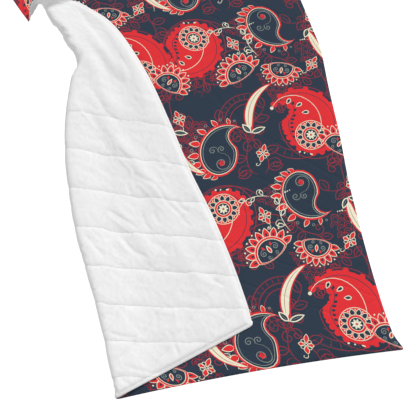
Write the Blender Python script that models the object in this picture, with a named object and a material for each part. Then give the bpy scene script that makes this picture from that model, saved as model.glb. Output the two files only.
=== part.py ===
"""A light printed quilt, laid print side up with its left part folded back over the top.

The quilt is two cut panels, sewn together around the rim: a printed top and a white back
that is stitched in diamonds. Both follow one folded section. From the right edge the cloth
runs flat to the left, turns over in a soft roll and comes back as a flap with the back up.
Towards the far end the flap narrows, curls open and the quilt lies flat to its far hem.

Metres, +Z up, +Y from the near hem to the far hem. The cloth lies on z = 0.
"""
import math
from collections import namedtuple

import bmesh
import bpy
from mathutils import Vector

# Sizes of the cut cloth
LENGTH = 2.0
PRINT_THICK = 0.0025
BACK_THICK = 0.0050
PANEL_GAP = 0.0003
LAYER_GAP = 0.0020

# Rim: the sewn edge is thinner than the padded field inside it
RIM_STEPS = (0.0, 0.012, 0.030)
RIM_THIN = 0.45

# Quilting: two families of stitch lines make diamonds on the back. Each family is a phase
# over the cloth, and its lines lie where the phase is whole. The lines are closest at the
# near hem.
PHASE_RATE = 12.27
PHASE_STRETCH = 0.714
RISING_RATE, RISING_START = -4.14, -0.50
FALLING_RATE, FALLING_START = 4.40, -0.93
PUFF_HEIGHT = 0.0035
STITCH_SINK = 0.0012

# Grid of the cloth
ROW_STEP = 0.040
CURL_ROW_STEP = 0.021
FLAT_ROW_STEP = 0.060
CURL_START = 1.46
CURL_END = 1.68
FLAT_COLUMNS = 8
ROLL_COLUMNS = 8
FLAP_COLUMNS = 12

# The near hem is drawn in a little between its corners
HEM_BOW = 0.014
HEM_BOW_REACH = 0.30
HEM_BOW_CENTRE = 0.08
HEM_BOW_HALF = 0.50

# The flap comes down from the roll to the layer below within this distance
SETTLE_LENGTH = 0.15
SETTLE_SHARE = 0.85

# One row for each section across the quilt. along: distance from the near hem.
# right_x: right edge. fold_x: outermost line of the roll. reach: flap beyond the roll.
# lean: direction of the flap's rows in degrees. high: outer height of the roll.
# turn: how far the cloth turns over in degrees, 180 where it lies folded, 0 where flat.
Station = namedtuple("Station", "along right_x fold_x reach lean high turn")
STATIONS = (
    Station(0.000, 0.571, -0.412, 0.502, 18.2, 0.030, 180.0),
    Station(0.060, 0.546, -0.412, 0.498, 18.3, 0.032, 180.0),
    Station(0.230, 0.531, -0.425, 0.483, 18.6, 0.036, 180.0),
    Station(0.415, 0.526, -0.452, 0.470, 18.7, 0.036, 180.0),
    Station(0.600, 0.526, -0.480, 0.447, 18.9, 0.036, 180.0),
    Station(0.810, 0.537, -0.487, 0.408, 19.8, 0.038, 180.0),
    Station(1.010, 0.541, -0.474, 0.348, 22.2, 0.038, 180.0),
    Station(1.180, 0.548, -0.437, 0.258, 27.8, 0.036, 180.0),
    Station(1.285, 0.536, -0.405, 0.188, 34.5, 0.034, 180.0),
    Station(1.350, 0.528, -0.432, 0.174, 34.0, 0.034, 180.0),
    Station(1.430, 0.517, -0.469, 0.146, 29.0, 0.034, 180.0),
    Station(1.500, 0.510, -0.498, 0.110, 27.0, 0.034, 180.0),
    Station(1.525, 0.508, -0.503, 0.078, 20.0, 0.034, 165.0),
    Station(1.545, 0.507, -0.505, 0.056, 8.0, 0.034, 125.0),
    Station(1.565, 0.506, -0.506, 0.046, -10.0, 0.034, 78.0),
    Station(1.585, 0.505, -0.506, 0.052, -34.0, 0.034, 32.0),
    Station(1.605, 0.504, -0.506, 0.082, -55.0, 0.034, 8.0),
    Station(1.630, 0.503, -0.507, 0.128, -66.0, 0.034, 0.0),
    Station(1.665, 0.502, -0.512, 0.132, -60.0, 0.034, 0.0),
    Station(1.720, 0.501, -0.522, 0.134, -48.0, 0.034, 0.0),
    Station(1.820, 0.501, -0.538, 0.158, -28.0, 0.034, 0.0),
    Station(2.000, 0.500, -0.555, 0.240, 0.0, 0.034, 0.0),
)

# Soft folds that stand up in the flap: a line from start to end, its height and half width
Crease = namedtuple("Crease", "start_x start_y end_x end_y height half")
CREASES = (
    Crease(-0.380, 1.300, -0.290, 1.040, 0.010, 0.034),
    Crease(-0.350, 1.400, -0.225, 1.180, 0.009, 0.026),
    Crease(-0.205, 1.300, -0.160, 1.020, 0.006, 0.030),
    Crease(-0.380, 1.130, -0.300, 0.940, 0.007, 0.030),
    Crease(-0.300, 0.930, -0.155, 0.660, 0.007, 0.026),
    Crease(-0.330, 0.660, -0.215, 0.450, 0.005, 0.028),
    Crease(-0.150, 0.500, -0.060, 0.330, 0.004, 0.026),
    Crease(-0.370, 0.130, -0.280, 0.040, 0.005, 0.024),
)

PRINT_COLOUR = (0.031, 0.047, 0.073, 1.0)
BACK_COLOUR = (0.86, 0.86, 0.86, 1.0)
CLOTH_ROUGHNESS = 0.85

ClothPoint = namedtuple("ClothPoint", "place rim puff lies_flat")


def clear_scene():
    """Removes every object that the scene starts with."""
    for item in list(bpy.data.objects):
        bpy.data.objects.remove(item, do_unlink=True)


def ease(value):
    """Smooth step from 0 to 1."""
    value = min(max(value, 0.0), 1.0)
    return value * value * (3.0 - 2.0 * value)


def station_at(along):
    """Section at any distance from the near hem, smooth between the table's rows."""
    last = len(STATIONS) - 1
    low = max(i for i in range(last) if STATIONS[i].along <= along or i == 0)
    before, start = STATIONS[max(low - 1, 0)], STATIONS[low]
    end, after = STATIONS[low + 1], STATIONS[min(low + 2, last)]
    span = end.along - start.along
    part = (along - start.along) / span
    values = [along]
    for k in range(1, len(Station._fields)):
        step = end[k] - start[k]
        lead = (end[k] - before[k]) / max(end.along - before.along, span) * span
        trail = (after[k] - start[k]) / max(after.along - start.along, span) * span
        lead = limited(lead, step)
        trail = limited(trail, step)
        values.append(hermite(start[k], end[k], lead, trail, part))
    return Station(*values)


def limited(slope, step):
    """Keeps a slope from overshooting the step that it belongs to."""
    if slope * step <= 0.0:
        return 0.0
    return math.copysign(min(abs(slope), 3.0 * abs(step)), step)


def hermite(start, end, lead, trail, part):
    """Cubic between two values with given slopes."""
    square = part * part
    cube = square * part
    return ((2 * cube - 3 * square + 1) * start + (cube - 2 * square + part) * lead
            + (3 * square - 2 * cube) * end + (cube - square) * trail)


def row_places():
    """Distances of the seam face's rows from the near hem."""
    places = list(RIM_STEPS)
    while places[-1] < LENGTH - RIM_STEPS[2] - FLAT_ROW_STEP:
        here = places[-1]
        if here < CURL_START:
            step = ROW_STEP
        elif here < CURL_END:
            step = CURL_ROW_STEP
        else:
            step = FLAT_ROW_STEP
        places.append(here + step)
    return places + [LENGTH - step for step in reversed(RIM_STEPS)]


def with_middles(places, limit):
    """The same places with one more halfway between each two, up to a limit."""
    finer = [places[0]]
    for start, end in zip(places, places[1:]):
        if end < limit:
            finer.append((start + end) / 2)
        finer.append(end)
    return finer


def with_rim(total, columns):
    """Distances from an edge over a stretch: the rim's steps, then even ones."""
    inner = RIM_STEPS[2]
    rest = (total - inner) / columns
    return list(RIM_STEPS) + [inner + rest * (k + 1) for k in range(columns)]


def rim_factor(edge_distance):
    """Thickness near an edge, as a share of the full thickness."""
    return RIM_THIN + (1.0 - RIM_THIN) * ease(edge_distance / RIM_STEPS[2])


def puff_at(from_edge, along):
    """Height of the padding over the back: a crown in each diamond, sunk at its stitches."""
    phase = PHASE_RATE * math.log(1.0 + PHASE_STRETCH * along)
    rising = phase + RISING_RATE * from_edge + RISING_START
    falling = phase + FALLING_RATE * from_edge + FALLING_START
    crown = abs(math.sin(math.pi * rising)) * abs(math.sin(math.pi * falling))
    return (PUFF_HEIGHT + STITCH_SINK) * crown ** 0.6 - STITCH_SINK


def crease_lift(x, y):
    """Height of the soft folds that stand up in the flap at a place in plan."""
    lift = 0.0
    for crease in CREASES:
        run = Vector((crease.end_x - crease.start_x, crease.end_y - crease.start_y))
        away = Vector((x - crease.start_x, y - crease.start_y))
        part = away.dot(run) / run.length_squared
        side = abs(away.x * run.y - away.y * run.x) / run.length
        ends = ease((part + 0.25) / 0.4) * ease((1.25 - part) / 0.4)
        lift = max(lift, crease.height * ends * math.exp(-(side / crease.half) ** 2))
    return lift


def hem_bow(x, along):
    """How far the near hem is drawn in, fading away along the quilt."""
    share = 1.0 - ((x - HEM_BOW_CENTRE) / HEM_BOW_HALF) ** 2
    return HEM_BOW * max(share, 0.0) * (1.0 - ease(along / HEM_BOW_REACH))


def seam_height(rim):
    """Height of the seam face between the panels where the cloth lies on z = 0."""
    return BACK_THICK * rim + PANEL_GAP / 2


def flat_points(station, end_rim, roll_x):
    """Points of one row from the right edge to the foot of the roll."""
    points = []
    for distance in with_rim(station.right_x - roll_x, FLAT_COLUMNS):
        x = station.right_x - distance
        rim = min(rim_factor(distance), end_rim)
        y = station.along + hem_bow(x, station.along)
        points.append(ClothPoint(Vector((x, y, seam_height(rim))), rim, 0.0, True))
    return points


def turned_points(station, end_rim, roll_x, radius, fine):
    """Points of one row around the roll and along the flap to its free edge."""
    turn = math.radians(station.turn)
    lean = math.radians(station.lean)
    roll_length = math.pi * radius
    foot = Vector((roll_x, station.along + hem_bow(roll_x, station.along), seam_height(end_rim)))
    points = []
    for k in range(1, ROLL_COLUMNS + 1):
        share = k / ROLL_COLUMNS
        place = foot + roll_offset(turn, share, roll_length)
        place.y += roll_length * math.sin(lean) * 0.5 * share
        from_edge = station.reach + roll_length * (1.0 - share)
        rim = min(end_rim, rim_factor(from_edge))
        puff = puff_at(from_edge, station.along) * (1.0 - math.cos(turn * share)) / 2
        points.append(ClothPoint(place, rim, puff, False))
    top = points[-1].place
    heading = Vector((-math.cos(turn) * math.cos(lean), math.sin(lean), math.sin(turn) * math.cos(lean)))
    folded = ease((station.turn - 110.0) / 70.0)
    distances = with_rim(station.reach, FLAP_COLUMNS)
    if fine:
        distances = with_middles(distances, math.inf)
    for distance in reversed(distances[:-1]):
        run = station.reach - distance
        rim = min(end_rim, rim_factor(distance))
        place = top + heading * run
        settle = ease(run / min(SETTLE_LENGTH, SETTLE_SHARE * station.reach))
        rest = seam_height(1.0) + PANEL_GAP + PRINT_THICK * (1.0 + rim) + LAYER_GAP
        rest += crease_lift(place.x, place.y)
        place.z += (rest - top.z) * settle * folded
        puff = puff_at(distance, station.along) * (1.0 - math.cos(turn)) / 2 * ease(distance / RIM_STEPS[1])
        points.append(ClothPoint(place, rim, puff, False))
    return points


def roll_offset(turn, share, roll_length):
    """Place on the roll's arc from its foot, for any turn down to flat."""
    if turn < 0.01:
        return Vector((-roll_length * share, 0.0, 0.0))
    radius = roll_length / turn
    angle = turn * share
    return Vector((-radius * math.sin(angle), 0.0, radius * (1.0 - math.cos(angle))))


def cloth_rows(fine):
    """The seam face between the panels as rows of points over the whole quilt.

    The fine grid has twice the rows before the curl, and twice the columns in the flap.
    """
    rows = []
    for along in with_middles(row_places(), CURL_START) if fine else row_places():
        station = station_at(along)
        end_rim = rim_factor(min(along, LENGTH - along))
        radius = station.high / 2 - BACK_THICK
        roll_x = station.fold_x + station.high / 2
        row = flat_points(station, end_rim, roll_x)
        row += turned_points(station, end_rim, roll_x, radius, fine)
        rows.append(row)
    return rows


def face_normals(rows):
    """Unit normals of the seam face, pointing to the printed side."""
    normals = []
    for i, row in enumerate(rows):
        before, after = rows[max(i - 1, 0)], rows[min(i + 1, len(rows) - 1)]
        line = []
        for j in range(len(row)):
            across = row[min(j + 1, len(row) - 1)].place - row[max(j - 1, 0)].place
            along = after[j].place - before[j].place
            line.append(along.cross(across).normalized())
        normals.append(line)
    return normals


def print_skin(rows, normals, share):
    """A face of the printed top: its inner one at share 0, its outer one at share 1."""
    return [[p.place + n * (PANEL_GAP / 2 + PRINT_THICK * p.rim * share) for p, n in zip(row, line)]
            for row, line in zip(rows, normals)]


def back_inner_skin(rows, normals):
    """The back's inner face, which lies against the printed top."""
    return [[p.place - n * (PANEL_GAP / 2) for p, n in zip(row, line)]
            for row, line in zip(rows, normals)]


def back_outer_skin(rows, normals):
    """The back's outer face with its diamonds, flat on z = 0 where the quilt lies."""
    skin = []
    for row, line in zip(rows, normals):
        places = []
        for p, n in zip(row, line):
            place = p.place - n * (PANEL_GAP / 2 + BACK_THICK * p.rim + p.puff)
            place.z = 0.0 if p.lies_flat else max(place.z, 0.0)
            places.append(place)
        skin.append(places)
    return skin


def fine_index(index, coarse_count):
    """Column of the fine grid for a column of the coarse one: the flap's are doubled."""
    start = coarse_count - (FLAP_COLUMNS + len(RIM_STEPS))
    return index if index <= start else start + 2 * (index - start)


def sides(grid, row_indexes, column_indexes):
    """The grid's four sides in order round its rim, each cut at the given indexes."""
    last_row, last_column = row_indexes[-1], column_indexes[-1]
    near = [[grid[0][c] for c in range(a, b + 1)] for a, b in zip(column_indexes, column_indexes[1:])]
    free = [[grid[r][last_column] for r in range(a, b + 1)] for a, b in zip(row_indexes, row_indexes[1:])]
    far = [[grid[last_row][c] for c in range(a, b + 1)] for a, b in zip(column_indexes, column_indexes[1:])]
    right = [[grid[r][0] for r in range(a, b + 1)] for a, b in zip(row_indexes, row_indexes[1:])]
    return near + free + far + right


def add_face_grid(mesh, grid):
    """Adds a skin's points and faces."""
    points = [[mesh.verts.new(p) for p in row] for row in grid]
    for row, after in zip(points, points[1:]):
        for j in range(len(row) - 1):
            mesh.faces.new((row[j], row[j + 1], after[j + 1], after[j]))
    return points


def add_wall(mesh, low, high):
    """Joins a step of the inner rim to the outer rim's one or two steps."""
    middle = (len(high) - 1) // 2
    mesh.faces.new((low[0], low[1], high[middle]))
    for k in range(len(high) - 1):
        apex = low[0] if k < middle else low[1]
        mesh.faces.new((apex, high[k + 1], high[k]))


def closed_sheet(name, inner, outer, centre, material):
    """One closed solid between two skins, where the outer one may be the finer."""
    mesh = bmesh.new()
    inner_points = add_face_grid(mesh, inner)
    outer_points = add_face_grid(mesh, outer)
    rows, columns = list(range(len(inner))), list(range(len(inner[0])))
    if len(outer) > len(inner):
        fine_places = with_middles(row_places(), CURL_START)
        outer_rows = [fine_places.index(place) for place in row_places()]
        outer_columns = [fine_index(j, len(columns)) for j in columns]
    else:
        outer_rows, outer_columns = rows, columns
    inner_sides = sides(inner_points, rows, columns)
    outer_sides = sides(outer_points, outer_rows, outer_columns)
    for low, high in zip(inner_sides, outer_sides):
        add_wall(mesh, low, high)
    bmesh.ops.translate(mesh, verts=mesh.verts, vec=-centre)
    bmesh.ops.recalc_face_normals(mesh, faces=mesh.faces)
    bmesh.ops.triangulate(mesh, faces=mesh.faces)
    data = bpy.data.meshes.new(name)
    mesh.to_mesh(data)
    mesh.free()
    data.shade_smooth()
    data.materials.append(material)
    item = bpy.data.objects.new(name, data)
    bpy.context.scene.collection.objects.link(item)
    return item


def cloth_material(name, colour):
    """Plain woven cotton or polyester of one colour."""
    material = bpy.data.materials.new(name)
    material.use_nodes = True
    shader = material.node_tree.nodes["Principled BSDF"]
    shader.inputs["Base Color"].default_value = colour
    shader.inputs["Roughness"].default_value = CLOTH_ROUGHNESS
    shader.inputs["Metallic"].default_value = 0.0
    return material


def box_centre(skins):
    """Middle of the quilt's outline in plan, at the height of the surface it lies on."""
    points = [p for skin in skins for row in skin for p in row]
    middle_x = (min(p.x for p in points) + max(p.x for p in points)) / 2
    middle_y = (min(p.y for p in points) + max(p.y for p in points)) / 2
    return Vector((middle_x, middle_y, 0.0))


def build_quilt():
    """Builds the two panels of the quilt around its centre."""
    rows = cloth_rows(fine=False)
    normals = face_normals(rows)
    fine_rows = cloth_rows(fine=True)
    print_inner = print_skin(rows, normals, 0.0)
    print_outer = print_skin(rows, normals, 1.0)
    back_inner = back_inner_skin(rows, normals)
    back_outer = back_outer_skin(fine_rows, face_normals(fine_rows))
    centre = box_centre((print_outer, back_outer))
    closed_sheet("printed_top", print_inner, print_outer, centre,
                 cloth_material("printed cloth", PRINT_COLOUR))
    closed_sheet("quilted_back", back_inner, back_outer, centre,
                 cloth_material("white quilted cloth", BACK_COLOUR))


clear_scene()
build_quilt()
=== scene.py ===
"""A light printed quilt that lies print side up, its left part folded back over the top.

Two sewn panels follow one folded section: a printed top and a white back stitched in
diamonds. Each is modelled as a closed sheet. The print is cut into the top's own mesh, so
its motifs have crisp edges from near by. Metres, +Z up, in the frame of the CAD.
"""
import logging
import math
from collections.abc import Sequence
from dataclasses import dataclass, field
from enum import Enum, IntEnum

import bmesh
import bpy
import numpy as np
from mathutils import Matrix, Vector, noise
from mathutils.geometry import delaunay_2d_cdt


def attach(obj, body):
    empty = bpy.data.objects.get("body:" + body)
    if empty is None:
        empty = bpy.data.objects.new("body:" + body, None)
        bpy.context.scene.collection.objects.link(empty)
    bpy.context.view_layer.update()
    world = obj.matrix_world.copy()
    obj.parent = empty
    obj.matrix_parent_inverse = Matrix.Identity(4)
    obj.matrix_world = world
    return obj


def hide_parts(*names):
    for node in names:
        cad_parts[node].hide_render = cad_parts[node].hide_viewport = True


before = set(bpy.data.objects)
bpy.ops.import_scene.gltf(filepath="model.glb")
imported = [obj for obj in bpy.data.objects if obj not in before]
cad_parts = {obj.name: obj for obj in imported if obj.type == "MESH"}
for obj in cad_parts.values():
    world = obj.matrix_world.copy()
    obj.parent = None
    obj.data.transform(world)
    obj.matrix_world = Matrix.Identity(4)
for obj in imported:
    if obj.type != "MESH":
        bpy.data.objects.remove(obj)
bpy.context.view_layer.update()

logging.basicConfig(level=logging.INFO, format="%(message)s")
log = logging.getLogger("quilt")

MM = 0.001
SAME_PLACE = 1e-7
Points = np.ndarray


def linear(colour: str) -> tuple[float, float, float, float]:
    """Turns an sRGB hex colour to the linear one that shaders take.

    Args:
        colour: six hex digits, such as "31404f".

    Returns:
        Linear red, green, blue and an alpha of 1.
    """
    parts = [int(colour[k:k + 2], 16) / 255 for k in (0, 2, 4)]
    values = [p / 12.92 if p <= 0.04045 else ((p + 0.055) / 1.055) ** 2.4 for p in parts]
    return values[0], values[1], values[2], 1.0


def ease(value: Points) -> Points:
    """Smooth step from 0 to 1."""
    value = np.clip(value, 0.0, 1.0)
    return value * value * (3.0 - 2.0 * value)


# The folded section

@dataclass(frozen=True)
class Station:
    """One section across the quilt.

    along: distance from the near hem. right_x: right edge. fold_x: outermost line of the
    roll. reach: flap beyond the roll. lean: direction of the flap's rows in degrees.
    high: outer height of the roll. turn: how far the cloth turns over, in degrees.
    """

    along: float
    right_x: float
    fold_x: float
    reach: float
    lean: float
    high: float
    turn: float


STATIONS = (
    Station(0.000, 0.571, -0.412, 0.502, 18.2, 0.030, 180.0),
    Station(0.060, 0.546, -0.412, 0.498, 18.3, 0.032, 180.0),
    Station(0.230, 0.531, -0.425, 0.483, 18.6, 0.036, 180.0),
    Station(0.415, 0.526, -0.452, 0.470, 18.7, 0.036, 180.0),
    Station(0.600, 0.526, -0.480, 0.447, 18.9, 0.036, 180.0),
    Station(0.810, 0.537, -0.487, 0.408, 19.8, 0.038, 180.0),
    Station(1.010, 0.541, -0.474, 0.348, 22.2, 0.038, 180.0),
    Station(1.180, 0.548, -0.437, 0.258, 27.8, 0.036, 180.0),
    Station(1.285, 0.536, -0.405, 0.188, 34.5, 0.034, 180.0),
    Station(1.350, 0.528, -0.432, 0.174, 34.0, 0.034, 180.0),
    Station(1.430, 0.517, -0.469, 0.146, 29.0, 0.034, 180.0),
    Station(1.500, 0.510, -0.498, 0.110, 27.0, 0.034, 180.0),
    Station(1.525, 0.508, -0.503, 0.078, 20.0, 0.034, 165.0),
    Station(1.545, 0.507, -0.505, 0.056, 8.0, 0.034, 125.0),
    Station(1.565, 0.506, -0.506, 0.046, -10.0, 0.034, 78.0),
    Station(1.585, 0.505, -0.506, 0.052, -34.0, 0.034, 32.0),
    Station(1.605, 0.504, -0.506, 0.082, -55.0, 0.034, 8.0),
    Station(1.630, 0.503, -0.507, 0.128, -66.0, 0.034, 0.0),
    Station(1.665, 0.502, -0.512, 0.132, -60.0, 0.034, 0.0),
    Station(1.720, 0.501, -0.522, 0.134, -48.0, 0.034, 0.0),
    Station(1.820, 0.501, -0.538, 0.158, -28.0, 0.034, 0.0),
    Station(2.000, 0.500, -0.555, 0.240, 0.0, 0.034, 0.0),
)


@dataclass(frozen=True)
class Crease:
    """A soft fold along a line of places in plan: height above the cloth, and half width."""

    line: tuple[tuple[float, float], ...]
    height: float
    half: float


# Folds that lift the whole flap, as in the solids
LIFTS = (
    Crease(((-0.380, 1.300), (-0.290, 1.040)), 0.010, 0.034),
    Crease(((-0.350, 1.400), (-0.225, 1.180)), 0.009, 0.026),
    Crease(((-0.205, 1.300), (-0.160, 1.020)), 0.006, 0.030),
    Crease(((-0.380, 1.130), (-0.300, 0.940)), 0.007, 0.030),
    Crease(((-0.300, 0.930), (-0.155, 0.660)), 0.007, 0.026),
    Crease(((-0.330, 0.660), (-0.215, 0.450)), 0.005, 0.028),
    Crease(((-0.150, 0.500), (-0.060, 0.330)), 0.004, 0.026),
    Crease(((-0.370, 0.130), (-0.280, 0.040)), 0.005, 0.024),
)


# Soft troughs and ridges of the white cloth alone, each along its own bent line
FOLDS = (
    # the far end, where the flap starts to curl open
    Crease(((-0.415, 1.580), (-0.367, 1.495), (-0.329, 1.405), (-0.291, 1.325), (-0.259, 1.261),
            (-0.242, 1.182), (-0.229, 1.098)), -0.0032, 0.015),
    Crease(((-0.341, 1.519), (-0.294, 1.436), (-0.249, 1.345), (-0.221, 1.259), (-0.206, 1.159)),
           0.0029, 0.022),
    Crease(((-0.484, 1.524), (-0.445, 1.433), (-0.399, 1.343), (-0.347, 1.244), (-0.311, 1.150)),
           0.0040, 0.028),
    Crease(((-0.326, 1.218), (-0.360, 1.189), (-0.395, 1.151), (-0.426, 1.113)), -0.0034, 0.011),
    Crease(((-0.380, 1.076), (-0.349, 1.045), (-0.322, 1.057)), -0.0021, 0.007),
    Crease(((-0.438, 1.107), (-0.410, 1.047), (-0.361, 0.976)), 0.0019, 0.008),
    # the middle, drawn down towards the free edge
    Crease(((-0.296, 0.891), (-0.271, 0.855), (-0.239, 0.817)), -0.0029, 0.007),
    Crease(((-0.313, 0.874), (-0.288, 0.837), (-0.257, 0.792), (-0.254, 0.756)), 0.0022, 0.007),
    Crease(((-0.239, 0.817), (-0.241, 0.770), (-0.210, 0.747), (-0.173, 0.712), (-0.159, 0.682),
            (-0.143, 0.641), (-0.109, 0.601), (-0.086, 0.563), (-0.069, 0.538)), -0.0032, 0.007),
    Crease(((-0.263, 0.742), (-0.226, 0.720), (-0.202, 0.685), (-0.179, 0.639), (-0.149, 0.600)),
           0.0022, 0.008),
    Crease(((-0.152, 0.819), (-0.129, 0.785)), 0.0022, 0.006),
    Crease(((-0.140, 0.837), (-0.112, 0.800)), -0.0021, 0.006),
    Crease(((-0.278, 0.745), (-0.267, 0.696)), -0.0027, 0.008),
    Crease(((-0.120, 0.660), (-0.093, 0.612), (-0.060, 0.593)), -0.0026, 0.007),
    Crease(((-0.238, 0.636), (-0.233, 0.571)), -0.0024, 0.009),
    Crease(((-0.199, 0.624), (-0.181, 0.560)), -0.0026, 0.009),
    Crease(((-0.364, 0.657), (-0.322, 0.621), (-0.274, 0.578), (-0.249, 0.549)), -0.0027, 0.007),
    Crease(((-0.373, 0.638), (-0.331, 0.600), (-0.293, 0.561)), 0.0021, 0.007),
    Crease(((-0.325, 0.551), (-0.303, 0.514), (-0.282, 0.483), (-0.229, 0.448)), -0.0029, 0.008),
    Crease(((-0.345, 0.547), (-0.321, 0.506), (-0.298, 0.470)), 0.0021, 0.009),
    Crease(((-0.448, 0.572), (-0.406, 0.504), (-0.386, 0.466)), -0.0026, 0.008),
    Crease(((-0.425, 0.586), (-0.382, 0.527)), -0.0021, 0.006),
    Crease(((-0.147, 0.495), (-0.139, 0.442)), -0.0024, 0.009),
    Crease(((-0.108, 0.586), (-0.066, 0.534)), -0.0024, 0.007),
    Crease(((-0.236, 0.589), (-0.208, 0.540)), -0.0024, 0.008),
    # the near end
    Crease(((-0.031, 0.339), (-0.009, 0.325), (0.014, 0.306)), -0.0034, 0.006),
    Crease(((-0.002, 0.226), (-0.055, 0.147)), -0.0020, 0.006),
    Crease(((-0.121, 0.253), (-0.162, 0.189)), -0.0020, 0.007),
    Crease(((-0.276, 0.215), (-0.308, 0.183)), -0.0024, 0.006),
    Crease(((-0.314, 0.182), (-0.349, 0.150), (-0.386, 0.117)), -0.0032, 0.006),
    Crease(((-0.370, 0.312), (-0.417, 0.255)), -0.0030, 0.006),
    Crease(((-0.236, 0.283), (-0.243, 0.186)), -0.0020, 0.008),
    Crease(((-0.173, 0.272), (-0.177, 0.175)), 0.0020, 0.009),
    Crease(((-0.414, 0.224), (-0.368, 0.200), (-0.301, 0.182)), -0.0026, 0.006),
    Crease(((-0.192, 0.146), (-0.182, 0.098)), -0.0032, 0.007),
    Crease(((-0.379, 0.109), (-0.331, 0.085), (-0.282, 0.064), (-0.213, 0.046)), -0.0026, 0.006),
    Crease(((-0.392, 0.071), (-0.350, 0.034)), -0.0032, 0.007),
)


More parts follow.
